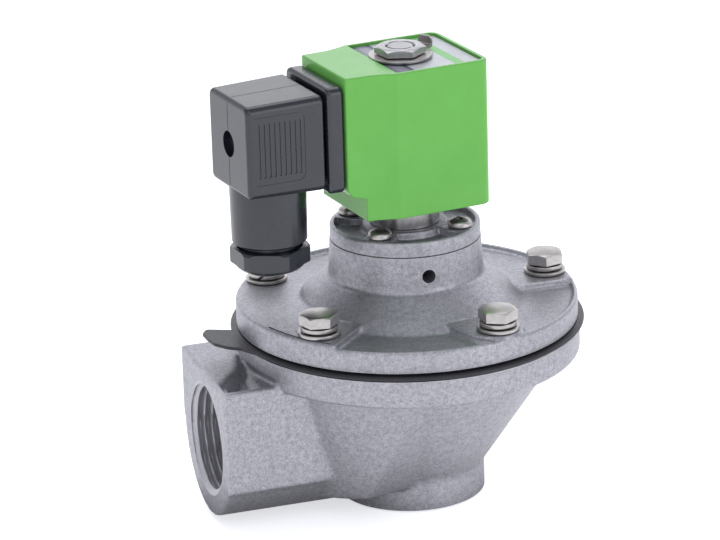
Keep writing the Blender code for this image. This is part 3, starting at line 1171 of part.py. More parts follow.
def build():
    clear_scene()
    body_casting()
    main_diaphragm()
    upper_clamp_plate()
    valve_disc()
    diaphragm_bolt()
    diaphragm_nut()
    spring("main_spring", MAIN_SPRING_RADIUS, MAIN_SPRING_WIRE, UPPER_PLATE_TOP_Z + GAP, SPRING_ROOF_Z - GAP,
           MAIN_SPRING_TURNS, 14, 5)
    cover_casting()
    cover_fasteners()
    pilot_stage()
    pilot_plate()
    pilot_screws()
    core_tube()
    seal_ring()
    fixed_core()
    plunger()
    plunger_parts()
    fixed = set(bpy.data.objects)
    coil_housing()
    coil_yoke()
    coil_windings()
    label_plate()
    retaining_clip()
    coil_nut()
    connector_base()
    contact_pins()
    connector_gasket()
    connector_housing()
    terminal_block()
    connector_screw()
    gland_nut()
    gland_seal()
    gland_washer()
    on_coil_frame([piece for piece in bpy.data.objects if piece not in fixed])


build()
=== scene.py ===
# %% [markdown]
# # A dust collector pulse valve
#
# The real valve lets a short pulse of compressed air into a filter bag. Air waits in the body under a rubber
# diaphragm. The coil on top lifts a small plunger, the air above the diaphragm escapes, and the diaphragm jumps
# up and opens the outlet below. The CAD model already has every piece in its place. This lesson gives the pieces
# that can be seen their cast, turned and moulded surfaces.

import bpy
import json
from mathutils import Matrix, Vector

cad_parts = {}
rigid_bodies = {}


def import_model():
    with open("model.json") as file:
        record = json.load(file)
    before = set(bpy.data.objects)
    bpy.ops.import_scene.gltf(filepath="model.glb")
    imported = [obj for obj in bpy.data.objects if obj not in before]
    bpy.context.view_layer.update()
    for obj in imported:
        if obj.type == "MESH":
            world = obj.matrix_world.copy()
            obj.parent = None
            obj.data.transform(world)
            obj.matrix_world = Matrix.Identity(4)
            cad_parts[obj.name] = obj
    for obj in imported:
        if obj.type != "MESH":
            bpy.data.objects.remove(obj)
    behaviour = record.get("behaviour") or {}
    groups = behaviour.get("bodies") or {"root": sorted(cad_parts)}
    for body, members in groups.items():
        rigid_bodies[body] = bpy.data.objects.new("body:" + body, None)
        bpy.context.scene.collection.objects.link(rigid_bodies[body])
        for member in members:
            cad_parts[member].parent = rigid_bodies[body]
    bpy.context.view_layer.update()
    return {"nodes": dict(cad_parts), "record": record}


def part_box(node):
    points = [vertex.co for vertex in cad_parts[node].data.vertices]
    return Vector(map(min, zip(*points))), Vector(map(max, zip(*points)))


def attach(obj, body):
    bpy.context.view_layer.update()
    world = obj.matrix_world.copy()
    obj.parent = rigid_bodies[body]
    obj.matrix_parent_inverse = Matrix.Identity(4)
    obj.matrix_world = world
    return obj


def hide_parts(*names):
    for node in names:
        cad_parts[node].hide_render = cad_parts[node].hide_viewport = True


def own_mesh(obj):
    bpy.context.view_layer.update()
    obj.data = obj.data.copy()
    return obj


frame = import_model()

# %% [markdown]
# ## Camera
#
# A long lens keeps the upright edges of the coil nearly parallel. The camera stands to the front left and a little
# above, and it is rolled by a degree and a half, as a hand-held one would be. Its direction is worked out from two
# angles, and its axes are written straight into the object's matrix.

# %% Camera
import json
from math import asin, cos, degrees, pi, radians, sin, sqrt, tan, tau

import bmesh
import bpy
import numpy as np
from mathutils import Matrix, Vector

MM = 0.001
CAMERA_TURN, CAMERA_RISE, CAMERA_ROLL = radians(18.55), radians(19.26), radians(-1.51)
CAMERA_DISTANCE, CAMERA_TARGET = 1.1086, Vector((0.0, 0.0, 0.06675))


def camera_place():
    back = Vector((-sin(CAMERA_TURN) * cos(CAMERA_RISE), -cos(CAMERA_TURN) * cos(CAMERA_RISE), sin(CAMERA_RISE)))
    right = Vector((cos(CAMERA_TURN), -sin(CAMERA_TURN), 0.0))
    up = back.cross(right)
    rolled = right * cos(CAMERA_ROLL) + up * sin(CAMERA_ROLL)
    upright = up * cos(CAMERA_ROLL) - right * sin(CAMERA_ROLL)
    place = Matrix((rolled, upright, back)).transposed().to_4x4()
    place.translation = CAMERA_TARGET + back * CAMERA_DISTANCE
    return place


scene = bpy.context.scene
lens = bpy.data.cameras.new("camera")
lens.lens, lens.sensor_width = 189.9, 36.0
lens.shift_x, lens.shift_y = -0.0639, 0.0014
camera = bpy.data.objects.new("camera", lens)
camera.matrix_world = camera_place()
scene.collection.objects.link(camera)
scene.camera = camera
print("camera at, mm:", [round(1000 * value) for value in camera.location])

# %% [markdown]
# ## Floor and light
#
# Small metal parts are photographed in a tent of white cloth on a light table. Light comes from the table, from wide
# panels in front and behind, and only a little from above. The panel behind is what the tops of the mouldings
# mirror, and the dim ceiling is what darkens the cone and the sunk floors of the castings. The table's own glow
# takes away most of the shadow. Straight into the lens it glows a little more than on to the valve, as a table
# exposed to pure white does. Real paper is also shaded by the valve near its foot, and the bowl mirrors that dark
# patch. Glowing paper would not show such a shade by itself, so an oval round the foot takes most of its glow away
# from every ray but the camera's.

# %% Floor and light
scene.view_settings.view_transform = "Standard"


def soft_light(name, place, target, width, height, power, tint=(0.96, 0.97, 1.0)):
    light = bpy.data.lights.new(name, "AREA")
    light.shape, light.size, light.size_y = "RECTANGLE", width, height
    light.energy, light.color = power, tint
    lamp = bpy.data.objects.new(name, light)
    lamp.location = place
    lamp.rotation_euler = (Vector(target) - Vector(place)).to_track_quat("-Z", "Y").to_euler()
    scene.collection.objects.link(lamp)
    return lamp


def pale_sweep():
    """A floor with a gentle rise far behind the valve."""
    shape = bmesh.new()
    rows = []
    for index in range(25):
        turn = radians(90.0 * max(0, index - 2) / 22)
        away = 1.6 + 1.2 * sin(turn) if index > 1 else (-2.6, 0.4)[index]
        rise = 1.2 * (1.0 - cos(turn)) if index > 1 else 0.0
        rows.append([shape.verts.new((side, away, rise - 0.0004)) for side in (-4.0, 4.0)])
    for low, high in zip(rows, rows[1:]):
        shape.faces.new((low[0], low[1], high[1], high[0]))
    mesh = bpy.data.meshes.new("floor")
    shape.to_mesh(mesh)
    shape.free()
    mesh.shade_smooth()
    floor = bpy.data.objects.new("floor", mesh)
    scene.collection.objects.link(floor)
    return floor


DARK_WITHIN, PALE_BEYOND = 0.024, 0.040


def pale_paper():
    """White paper that glows. What the valve mirrors of it is darker near its own foot."""
    paper = bpy.data.materials.new("pale_paper")
    paper.use_nodes = True
    tree = paper.node_tree
    shader = tree.nodes["Principled BSDF"]
    shader.inputs["Roughness"].default_value = 0.9
    shader.inputs["Emission Color"].default_value = (0.96, 0.965, 1.0, 1.0)

    def spread(value, *ends):
        made = tree.nodes.new("ShaderNodeMapRange")
        tree.links.new(value, made.inputs[0])
        for index, end in enumerate(ends):
            if isinstance(end, bpy.types.NodeSocket):
                tree.links.new(end, made.inputs[1 + index])
            else:
                made.inputs[1 + index].default_value = end
        return made.outputs[0]

    oval = tree.nodes.new("ShaderNodeMapping")
    oval.inputs["Location"].default_value = (0.017, 0.0, 0.0)
    oval.inputs["Scale"].default_value = (0.55, 1.0, 1.0)
    tree.links.new(tree.nodes.new("ShaderNodeTexCoord").outputs["Object"], oval.inputs[0])
    reach = tree.nodes.new("ShaderNodeVectorMath")
    reach.operation = "LENGTH"
    tree.links.new(oval.outputs[0], reach.inputs[0])
    seen = tree.nodes.new("ShaderNodeLightPath").outputs["Is Camera Ray"]
    away = reach.outputs["Value"]
    for label, near, far, straight in (("Emission Strength", 0.08, 0.50, 0.62), ("Base Color", 0.40, 0.88, 0.86)):
        mirrored = spread(away, DARK_WITHIN, PALE_BEYOND, near, far)
        tree.links.new(spread(seen, 0.0, 1.0, mirrored, straight), shader.inputs[label])
    return paper


paper = pale_paper()
floor = pale_sweep()
floor.data.materials.append(paper)

room = bpy.data.worlds.new("studio")
room.use_nodes = True
room.node_tree.nodes["Background"].inputs["Color"].default_value = (0.90, 0.93, 1.0, 1.0)
room.node_tree.nodes["Background"].inputs["Strength"].default_value = 0.50
scene.world = room
soft_light("top_panel", (0.02, 0.30, 0.75), (0.0, 0.0, 0.08), 0.7, 0.5, 2.0)
soft_light("back_panel", (0.45, 1.25, 0.52), (0.0, 0.0, 0.10), 1.9, 0.7, 3.1)
soft_light("front_high", (-0.20, -0.75, 0.80), (0.0, 0.0, 0.06), 0.9, 0.6, 1.7)
soft_light("front_right", (0.70, -1.00, 0.32), (0.0, 0.0, 0.06), 0.8, 0.8, 3.2)
soft_light("front_left", (-0.85, -1.00, 0.32), (0.0, 0.0, 0.06), 0.8, 0.8, 1.25)
soft_light("left_panel", (-1.10, 0.20, 0.28), (0.0, 0.0, 0.08), 0.8, 0.7, 0.7)
soft_light("right_high", (0.95, 0.30, 0.62), (0.0, 0.0, 0.08), 0.7, 0.5, 1.4)

# %% [markdown]
# ## Working shapes
#
# Each visible piece is built in millimetres with four ways of making a solid: turn an outline round an axis, push
# an outline along an axis, skin a stack of rings, and add or cut with a Boolean. Corners of outlines are rounded in
# the flat first, because that is how a pattern maker's drawing gives them.

# %% Shape helpers
def solid(name, shape):
    """Turn a bmesh drawn in millimetres into an object in metres."""
    bmesh.ops.recalc_face_normals(shape, faces=shape.faces)
    mesh = bpy.data.meshes.new(name)
    shape.to_mesh(mesh)
    shape.free()
    mesh.transform(Matrix.Scale(MM, 4))
    piece = bpy.data.objects.new(name, mesh)
    scene.collection.objects.link(piece)
    return piece


def turned(name, outline, steps=128, centre=(0.0, 0.0)):
    """Revolve a closed outline of (radius, height) points about an upright axis."""
    shape = bmesh.new()
    rings = []
    for radius, height in outline:
        if radius < 1e-6:
            rings.append([shape.verts.new((centre[0], centre[1], height))] * steps)
        else:
            rings.append([shape.verts.new((centre[0] + radius * cos(tau * i / steps),
                                           centre[1] + radius * sin(tau * i / steps), height))
                          for i in range(steps)])
    for ring, other in zip(rings, rings[1:] + rings[:1]):
        for i in range(steps):
            corners = [ring[i], ring[(i + 1) % steps], other[(i + 1) % steps], other[i]]
            corners = [corner for n, corner in enumerate(corners) if corner not in corners[:n]]
            if len(corners) > 2:
                shape.faces.new(corners)
    return solid(name, shape)


AXES = {"Z": lambda u, v, w: (u, v, w), "X": lambda u, v, w: (w, u, v), "Y": lambda u, v, w: (u, w, v)}


def loft(name, rings):
    """Skin a stack of rings of equal length and cap both ends."""
    shape = bmesh.new()
    rows = [[shape.verts.new(point) for point in ring] for ring in rings]
    for low, high in zip(rows, rows[1:]):
        for i in range(len(low)):
            shape.faces.new((low[i], low[(i + 1) % len(low)], high[(i + 1) % len(low)], high[i]))
    shape.faces.new(rows[0])
    shape.faces.new(rows[-1])
    return solid(name, shape)


def prism(name, outline, low, high, along="Z"):
    turn = AXES[along]
    return loft(name, [[turn(u, v, level) for u, v in outline] for level in (low, high)])


def arc(x, y, radius, start, end, steps):
    angles = [radians(start + (end - start) * i / steps) for i in range(steps + 1)]
    return [(x + radius * cos(angle), y + radius * sin(angle)) for angle in angles]


def ring_of(radius, steps=96, x=0.0, y=0.0):
    return arc(x, y, radius, 0.0, 360.0 * (steps - 1) / steps, steps - 1)


def rounded(points, radii, steps=6):
    """Round the corners of a closed outline. A list of radii gives one for each corner."""
    outline = []
    for i, point in enumerate(points):
        radius = radii[i] if isinstance(radii, (list, tuple)) else radii
        corner = Vector(point)
        before, after = Vector(points[i - 1]) - corner, Vector(points[(i + 1) % len(points)]) - corner
        half = before.angle(after) / 2.0
        if radius <= 0.0 or half > pi / 2 - 0.02:
            outline.append(tuple(corner))
            continue
        reach = min(radius / tan(half), 0.49 * before.length, 0.49 * after.length)
        start, end = before.normalized() * reach, after.normalized() * reach
        centre = (before.normalized() + after.normalized()).normalized() * (reach / cos(half))
        first, last = start - centre, end - centre
        sweep = first.angle(last)
        for step in range(steps + 1):
            share = step / steps
            swung = (first * sin((1.0 - share) * sweep) + last * sin(share * sweep)) / sin(sweep)
            outline.append(tuple(corner + centre + swung))
    return outline


def box_outline(left, right, low, high, radius, steps=6):
    return rounded([(right, high), (left, high), (left, low), (right, low)], radius, steps)


def rod(name, radius, low, high, along="Z", centre=(0.0, 0.0), steps=48):
    return prism(name, ring_of(radius, steps, *centre), low, high, along)


probe = rounded([(0, 0), (10, 0), (10, 10), (0, 10)], 2.0)
print("a rounded square has", len(probe), "points")

# %% [markdown]
# ## Booleans, bevels and cast skins
#
# A machined or moulded edge gets a bevel. A casting has no crisp edge anywhere: its corners are full and its inner
# corners are filled. Voxel remeshing melts the rough shapes into one skin, and a few rounds of smoothing give all
# its corners that soft form at once. Voxels leave small steps on a slanted or round face, so the points beside such
# a face are drawn back on to it, and the seams between shapes are smoothed once more. The faces that a lathe or mill
# later cuts are cut after that, so they stay flat.

# %% Boolean, bevel and skin helpers
def bake(piece):
    """Apply the modifiers of a piece."""
    graph = bpy.context.evaluated_depsgraph_get()
    mesh = bpy.data.meshes.new_from_object(piece.evaluated_get(graph))
    old = piece.data
    piece.modifiers.clear()
    piece.data = mesh
    bpy.data.meshes.remove(old)
    return piece


def combine(piece, tool, operation="DIFFERENCE", solver="EXACT"):
    step = piece.modifiers.new("combine", "BOOLEAN")
    step.operation, step.solver, step.object = operation, solver, tool
    bake(piece)
    bpy.data.objects.remove(tool, do_unlink=True)
    return piece


def carve(piece, tool):
    """Cut a casting with the solver that is quick on closed meshes."""
    return combine(piece, tool, "DIFFERENCE", "MANIFOLD")


def copy_of(pattern, name, place):
    """A copy of a pattern piece, moved in its mesh."""
    copy = bpy.data.objects.new(name, pattern.data.copy())
    copy.data.transform(place)
    scene.collection.objects.link(copy)
    return copy


def melt(pieces):
    """Put several working shapes into the first one, before their skin is made."""
    target = pieces[0]
    shape = bmesh.new()
    for piece in pieces:
        shape.from_mesh(piece.data)
    shape.to_mesh(target.data)
    shape.free()
    for piece in pieces[1:]:
        bpy.data.objects.remove(piece, do_unlink=True)
    return target


def cast_skin(piece, voxel, rounds, keep=1.0):
    """Turn rough shapes into one soft skin."""
    step = piece.modifiers.new("remesh", "REMESH")
    step.mode, step.voxel_size = "VOXEL", voxel * MM
    step = piece.modifiers.new("smooth", "SMOOTH")
    step.factor, step.iterations = 0.5, rounds
    if keep < 1.0:
        step = piece.modifiers.new("decimate", "DECIMATE")
        step.ratio = keep
    return bake(piece)


def true_up(piece, gaps, rounds=1, tight=0.12, loose=0.34):
    """Draw the points of a skin that are very near a turned or ruled face back on to it.

    Each gap function gets a point in mm and gives its distance from the face and the way out of it, or None.
    """
    moved = 0
    for vertex in piece.data.vertices:
        point = vertex.co / MM
        for gap in gaps:
            found = gap(point)
            if found and abs(found[0]) < loose:
                share = min(1.0, (loose - abs(found[0])) / (loose - tight))
                vertex.co -= Vector(found[1]) * (found[0] * share * MM)
                moved += 1
                break
    step = piece.modifiers.new("smooth", "SMOOTH")
    step.factor, step.iterations = 0.5, rounds
    bake(piece)
    return moved


def soften(piece, weight, rounds):
    """Smooth a piece only near a seam. The weight function gets a point in mm and gives 0 to 1."""
    seam = piece.vertex_groups.new(name="seam")
    for vertex in piece.data.vertices:
        share = weight(vertex.co / MM)
        if share > 0.0:
            seam.add([vertex.index], min(share, 1.0), "REPLACE")
    step = piece.modifiers.new("smooth", "SMOOTH")
    step.factor, step.iterations, step.vertex_group = 0.5, rounds, "seam"
    bake(piece)
    piece.vertex_groups.clear()


def round_face(low, high, foot, head=None):
    """A gap function for a cylinder or a cone between two levels, with its radius at each of them."""
    head = foot if head is None else head

    def gap(point):
        if not low < point.z < high:
            return None
        reach = sqrt(point.x ** 2 + point.y ** 2)
        radius = foot + (head - foot) * (point.z - low) / (high - low)
        return reach - radius, (point.x / max(reach, 0.001), point.y / max(reach, 0.001), 0.0)

    return gap


def bevel(piece, width, segments=3, angle=35.0):
    step = piece.modifiers.new("bevel", "BEVEL")
    step.width, step.segments = width * MM, segments
    step.limit_method, step.angle_limit = "ANGLE", radians(angle)
    return bake(piece)


CRISP_BELOW = 20000


def shade(piece, angle=38.0):
    """Smooth shading between sharp edges. On a bevelled piece the large faces stay flat up to the bevel."""
    piece.data.shade_smooth()
    piece.data.set_sharp_from_angle(angle=radians(angle))
    if len(piece.data.polygons) < CRISP_BELOW:
        step = piece.modifiers.new("crisp", "WEIGHTED_NORMAL")
        step.keep_sharp = True
        bake(piece)
    return piece


def mark_bends(piece):
    """Store on each point how far it stands out: above zero on outer corners, below zero in hollows."""
    mesh = piece.data
    count = len(mesh.vertices)
    place, normal = np.empty(3 * count), np.empty(3 * count)
    ends = np.empty(2 * len(mesh.edges), dtype=np.int32)
    mesh.vertices.foreach_get("co", place)
    mesh.vertices.foreach_get("normal", normal)
    mesh.edges.foreach_get("vertices", ends)
    place, normal, ends = place.reshape(-1, 3), normal.reshape(-1, 3), ends.reshape(-1, 2)
    run = place[ends[:, 1]] - place[ends[:, 0]]
    length = np.linalg.norm(run, axis=1)
    ends, run = ends[length > 1e-6], run[length > 1e-6] / length[length > 1e-6, None]
    start, end = ends[:, 0], ends[:, 1]

    def gathered(at_start, at_end):
        return np.bincount(start, at_start, count) + np.bincount(end, at_end, count)

    met = gathered(np.ones(len(start)), np.ones(len(start)))
    rise = gathered((normal[start] * run).sum(axis=1), -(normal[end] * run).sum(axis=1))
    rise = rise / np.maximum(met, 1.0)
    bend = np.arccos(np.clip(rise, -1.0, 1.0)) / pi - 0.5
    bend = (bend + gathered(bend[end], bend[start])) / (met + 1.0)
    mesh.attributes.new("bend", "FLOAT", "POINT").data.foreach_set("value", bend.astype(np.float32))


def triangles(piece):
    piece.data.calc_loop_triangles()
    return len(piece.data.loop_triangles)


probe = cast_skin(prism("probe", box_outline(-5, 5, -5, 5, 0), 0, 10), 0.5, 3)
print("a 10 mm cube as a cast skin has", triangles(probe), "triangles")
bpy.data.objects.remove(probe, do_unlink=True)

# %% [markdown]
# ## Shared surface effects
#
# A node group is a small machine that several materials can use. Metal, rubber and plastic all need fine grain,
# blotches of slightly different tone, and edges that handling has rubbed brighter. Here the edges also carry a
# painted highlight, and the hollows a painted shade. Each group gives out only masks and heights, and each material
# decides what to do with them. What counts as an edge was stored on the mesh as its bend. The shader's own Pointiness
# measures much the same, but on a piece of real size it takes points a third of a millimetre apart for one, and
# paints white flecks.

# %% Node group helpers
def group(name, inputs, outputs):
    """A new node group with float inputs, given as names with start values, and named outputs."""
    tree = bpy.data.node_groups.new(name, "ShaderNodeTree")
    for label, value in inputs:
        socket = tree.interface.new_socket(label, in_out="INPUT", socket_type="NodeSocketFloat")
        socket.default_value = value
    for label in outputs:
        tree.interface.new_socket(label, in_out="OUTPUT", socket_type="NodeSocketFloat")
    return tree, tree.nodes.new("NodeGroupInput"), tree.nodes.new("NodeGroupOutput")


def node(tree, kind, links=None, **settings):
    """Add a node, set its fields and join or fill its inputs."""
    made = tree.nodes.new(kind)
    for field, value in settings.items():
        setattr(made, field, value)
    for socket, source in (links or {}).items():
        if isinstance(source, bpy.types.NodeSocket):
            tree.links.new(source, made.inputs[socket])
        else:
            made.inputs[socket].default_value = source
    return made


def noise(tree, point, scale, detail=3.0, rough=0.55):
    fields = {"Vector": point, "Scale": scale, "Detail": detail, "Roughness": rough}
    return node(tree, "ShaderNodeTexNoise", fields).outputs["Fac"]


def ramp(tree, value, low, high, to_low=0.0, to_high=1.0):
    return node(tree, "ShaderNodeMapRange", {0: value, 1: low, 2: high, 3: to_low, 4: to_high}, clamp=True).outputs[0]


def calc(tree, operation, first, second=0.0):
    return node(tree, "ShaderNodeMath", {0: first, 1: second}, operation=operation).outputs[0]


def blotchy_grain():
    """Tone: blotches over fine speckle. Height: the same surface as a relief."""
    knobs = [("Blotch Scale", 600.0), ("Grain Scale", 2600.0), ("Speckle", 0.5)]
    tree, given, result = group("blotchy_grain", knobs, ["Tone", "Height"])
    point = node(tree, "ShaderNodeTexCoord").outputs["Object"]
    blotch = noise(tree, point, given.outputs["Blotch Scale"], 4.0, 0.6)
    grain = noise(tree, point, given.outputs["Grain Scale"], 2.0, 0.5)
    blotch = ramp(tree, blotch, 0.3, 0.7)
    grain = ramp(tree, grain, 0.25, 0.75)
    speckle = calc(tree, "MULTIPLY", grain, given.outputs["Speckle"])
    rest = calc(tree, "SUBTRACT", 1.0, given.outputs["Speckle"])
    tone = calc(tree, "ADD", speckle, calc(tree, "MULTIPLY", blotch, rest))
    tree.links.new(tone, result.inputs["Tone"])
    tree.links.new(calc(tree, "ADD", calc(tree, "MULTIPLY", blotch, 0.5), grain), result.inputs["Height"])
    return tree


def edge_wear_and_painted_light():
    """Edge: outer corners, lightened by handling wear and by a painted highlight. Hollow: inner corners, darkened by
    a painted shade.
    """
    tree, given, result = group("edge_wear_and_painted_light", [("Spread", 0.06), ("Start", 0.005)], ["Edge", "Hollow"])
    bend = node(tree, "ShaderNodeAttribute", attribute_name="bend").outputs["Fac"]
    point = node(tree, "ShaderNodeTexCoord").outputs["Object"]
    patch = ramp(tree, noise(tree, point, 700.0, 3.0), 0.3, 0.7, 0.45, 1.0)
    # The Edge mask paints a highlight on outer corners as well as wear; the Hollow mask paints shade into inner
    # corners.
    dip = calc(tree, "SUBTRACT", 0.0, bend)
    edge = calc(tree, "MULTIPLY", ramp(tree, bend, given.outputs["Start"], given.outputs["Spread"]), patch)
    tree.links.new(edge, result.inputs["Edge"])
    tree.links.new(ramp(tree, dip, given.outputs["Start"], given.outputs["Spread"]), result.inputs["Hollow"])
    return tree


def fine_scratches():
    """Hair-thin marks in two directions, as handling leaves on metal and plastic."""
    tree, given, result = group("fine_scratches", [("Scale", 220.0), ("Amount", 0.5)], ["Mask"])
    point = node(tree, "ShaderNodeTexCoord").outputs["Object"]
    masks = []
    for turn in (0.5, 2.1):
        drawn = {"Vector": point, "Rotation": (0.4, turn, 0.7 * turn), "Scale": (1.0, 14.0, 3.0)}
        bent = node(tree, "ShaderNodeMapping", drawn)
        masks.append(ramp(tree, noise(tree, bent.outputs[0], given.outputs["Scale"], 4.0, 0.7), 0.62, 0.72))
    both = calc(tree, "MAXIMUM", masks[0], masks[1])
    tree.links.new(calc(tree, "MULTIPLY", both, given.outputs["Amount"]), result.inputs["Mask"])
    return tree


EFFECTS = {made.name: made for made in (blotchy_grain(), edge_wear_and_painted_light(), fine_scratches())}
print("effects:", sorted(EFFECTS))

# %% [markdown]
# ## Finishes
#
# Every finish is one Principled shader. Its colour runs between a darker and a lighter tone by the grain mask, and
# edges and hollows push it further. The grain's height goes through one Bump node, at a strength that matches the
# real relief: about a hundredth of a millimetre on cast metal, and less on plastic.

# %% Finish helper
def effect(tree, name, **values):
    made = node(tree, "ShaderNodeGroup", node_tree=EFFECTS[name])
    for label, value in values.items():
        made.inputs[label.replace("_", " ").title()].default_value = value
    return made.outputs


def blend(tree, mask, first, second):
    """Mix two colours, each given as a colour or a socket, by a mask."""
    mixed = tree.nodes.new("ShaderNodeMix")
    mixed.data_type = "RGBA"
    tree.links.new(mask, mixed.inputs[0])
    for socket, colour in ((6, first), (7, second)):
        if isinstance(colour, bpy.types.NodeSocket):
            tree.links.new(colour, mixed.inputs[socket])
        else:
            mixed.inputs[socket].default_value = (*colour, 1.0)
    return mixed.outputs[2]


def finish(name, dark, light, metallic, rough, blotch=600.0, grain=2600.0, speckle=0.5, relief=0.01,
           edge=None, hollow=None, spread=0.06, start=0.005, scratches=0.0, **extra):
    """A finish with grain, scratches, edges lightened by wear and a painted highlight, and hollows darkened by a
    painted shade. rough is a pair: on dark and on light grain.
    """
    material = bpy.data.materials.new(name)
    material.use_nodes = True
    tree = material.node_tree
    shader = tree.nodes["Principled BSDF"]
    shader.inputs["Metallic"].default_value = metallic
    for label, value in extra.items():
        shader.inputs[label.replace("_", " ").title().replace("Ior", "IOR")].default_value = value
    skin = effect(tree, "blotchy_grain", blotch_scale=blotch, grain_scale=grain, speckle=speckle)
    colour = blend(tree, skin["Tone"], dark, light)
    roughness = ramp(tree, skin["Tone"], 0.0, 1.0, *rough)
    # Edges get wear and a painted highlight, hollows a painted shade.
    if edge or hollow:
        edge_wear_and_shade_masks = effect(tree, "edge_wear_and_painted_light", spread=spread, start=start)
        if hollow:
            colour = blend(tree, edge_wear_and_shade_masks["Hollow"], colour, hollow)
        if edge:
            colour = blend(tree, edge_wear_and_shade_masks["Edge"], colour, edge)
    if scratches:
        marks = effect(tree, "fine_scratches", amount=scratches)
        roughness = calc(tree, "ADD", roughness, calc(tree, "MULTIPLY", marks["Mask"], 0.25))
    tree.links.new(colour, shader.inputs["Base Color"])
    tree.links.new(roughness, shader.inputs["Roughness"])
    bump = node(tree, "ShaderNodeBump", {"Height": skin["Height"], "Strength": 1.0, "Distance": relief * MM})
    tree.links.new(bump.outputs[0], shader.inputs["Normal"])
    return material


print("knobs of a finish:", [item.name for item in EFFECTS["blotchy_grain"].interface.items_tree][:3])

# %% [markdown]
# The castings are dull and speckled, with bright corners that are partly rubbed and partly a painted highlight, and
# hollows darkened by a painted shade. What a lathe or mill has cut is paler and even. The fasteners are plated and
# lightly scratched, with the same painted highlight on their edges and painted shade in their hollows. A photograph
# of metal could be laid on instead, but a finish made of numbers holds at any distance and needs no file.

# %% Finishes of metal
# The cast edge colour is wear and a painted highlight on outer corners; the hollow colour is a painted shade in inner
# corners.
CAST = finish("cast_aluminium_skin", (0.230, 0.226, 0.252), (0.545, 0.538, 0.578), 0.88, (0.52, 0.38),
              760.0, 2300.0, 0.58, 0.032, edge=(0.72, 0.71, 0.75), hollow=(0.13, 0.135, 0.15), spread=0.11,
              start=0.028)
MACHINED = finish("machined_aluminium", (0.42, 0.415, 0.44), (0.56, 0.55, 0.58), 0.85, (0.54, 0.44),
                  300.0, 5000.0, 0.6, 0.006, scratches=0.4)
# The fastener's edge colour is wear and a painted highlight; its hollow colour is a painted shade.
BRIGHT = finish("bright_steel_fastener", (0.33, 0.310, 0.300), (0.47, 0.445, 0.432), 1.0, (0.42, 0.30),
                420.0, 3600.0, 0.4, 0.006, edge=(0.74, 0.71, 0.69), hollow=(0.08, 0.070, 0.06), spread=0.10,
                scratches=0.4)
# The turned steel's edge colour is wear and a painted highlight; its hollow colour is a painted shade.
PLAIN = finish("turned_steel", (0.28, 0.275, 0.285), (0.42, 0.415, 0.425), 1.0, (0.38, 0.27),
               300.0, 3200.0, 0.5, 0.008, edge=(0.66, 0.64, 0.65), hollow=(0.05, 0.05, 0.055), spread=0.09,
               scratches=0.4)
SPRING = finish("spring_wire", (0.30, 0.30, 0.32), (0.46, 0.46, 0.48), 1.0, (0.36, 0.24),
                500.0, 4000.0, 0.6, 0.004)
COPPER = finish("enamelled_copper", (0.52, 0.19, 0.09), (0.78, 0.34, 0.17), 1.0, (0.38, 0.26),
                500.0, 5200.0, 0.7, 0.02)
BRASS = finish("plain_brass", (0.58, 0.40, 0.15), (0.76, 0.56, 0.25), 1.0, (0.32, 0.22),
               400.0, 3600.0, 0.5, 0.005)
print("metals:", [item.name for item in (CAST, MACHINED, BRIGHT, PLAIN, SPRING, COPPER, BRASS)])

# %% [markdown]
# The mouldings are smooth and glossy, and the rubber is duller, with a faint painted highlight on its edges. The
# green
# and the black have no lightened edges: their faces are large and have few points, so a mask stored on the points
# would spread far over them.

# %% Finishes of rubber and plastic
# The rubber's faint edge colour is a painted highlight together with wear.
RUBBER = finish("moulded_rubber", (0.005, 0.005, 0.007), (0.014, 0.014, 0.018), 0.0, (0.46, 0.34),
                380.0, 3400.0, 0.6, 0.012, edge=(0.030, 0.030, 0.032), spread=0.12)
GREEN = finish("green_gloss_moulding", (0.136, 0.440, 0.078), (0.164, 0.495, 0.100), 0.0, (0.24, 0.17),
               60.0, 1800.0, 0.25, 0.002, scratches=0.2, specular_ior_level=0.24)
BLACK = finish("black_satin_moulding", (0.006, 0.008, 0.014), (0.012, 0.016, 0.025), 0.0, (0.28, 0.24),
               260.0, 3000.0, 0.35, 0.002, scratches=0.1, specular_ior_level=0.78)
BOBBIN = finish("natural_moulding", (0.60, 0.58, 0.53), (0.72, 0.70, 0.65), 0.0, (0.5, 0.4),
                200.0, 2600.0, 0.4, 0.006)
SILVER = finish("silver_plate", (0.44, 0.45, 0.48), (0.56, 0.57, 0.60), 0.5, (0.42, 0.34),
                260.0, 4200.0, 0.5, 0.004)
print("mouldings and plate:", [item.name for item in (RUBBER, GREEN, BLACK, BOBBIN, SILVER)])

# %% [markdown]
# ## Handing a piece over
#
# A finished piece gets its material and its shading, and its bends are stored on its points. It rides on its CAD
# body and hides the CAD node that it stands for. One helper does all of this together, so that no step is forgotten.

# %% Hand over
made = []


def hand_over(piece, body, slot, materials, *nodes, angle=38.0):
    if materials:
        piece.data.materials.clear()
        for material in materials:
            piece.data.materials.append(material)
    shade(piece, angle)
    mark_bends(piece)
    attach(piece, body)
    if nodes:
        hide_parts(*nodes)
    made.append(piece)
    return piece


def paint_faces(piece, index, test):
    """Give the faces that pass a test another material. The test gets the centre in mm and the normal."""
    count = 0
    for face in piece.data.polygons:
        if test(face.center / MM, face.normal):
            face.material_index = index
            count += 1
    return count


def hand_over_casting(piece, test, cad):
    """Hand over a casting whose cut faces take the machined finish."""
    count = paint_faces(piece, 1, test)
    chosen = [face.material_index for face in piece.data.polygons]
    hand_over(piece, "valve_body", "cast_aluminium", [CAST, MACHINED], cad)
    piece.data.polygons.foreach_set("material_index", chosen)
    return count


print("pieces handed over so far:", len(made))

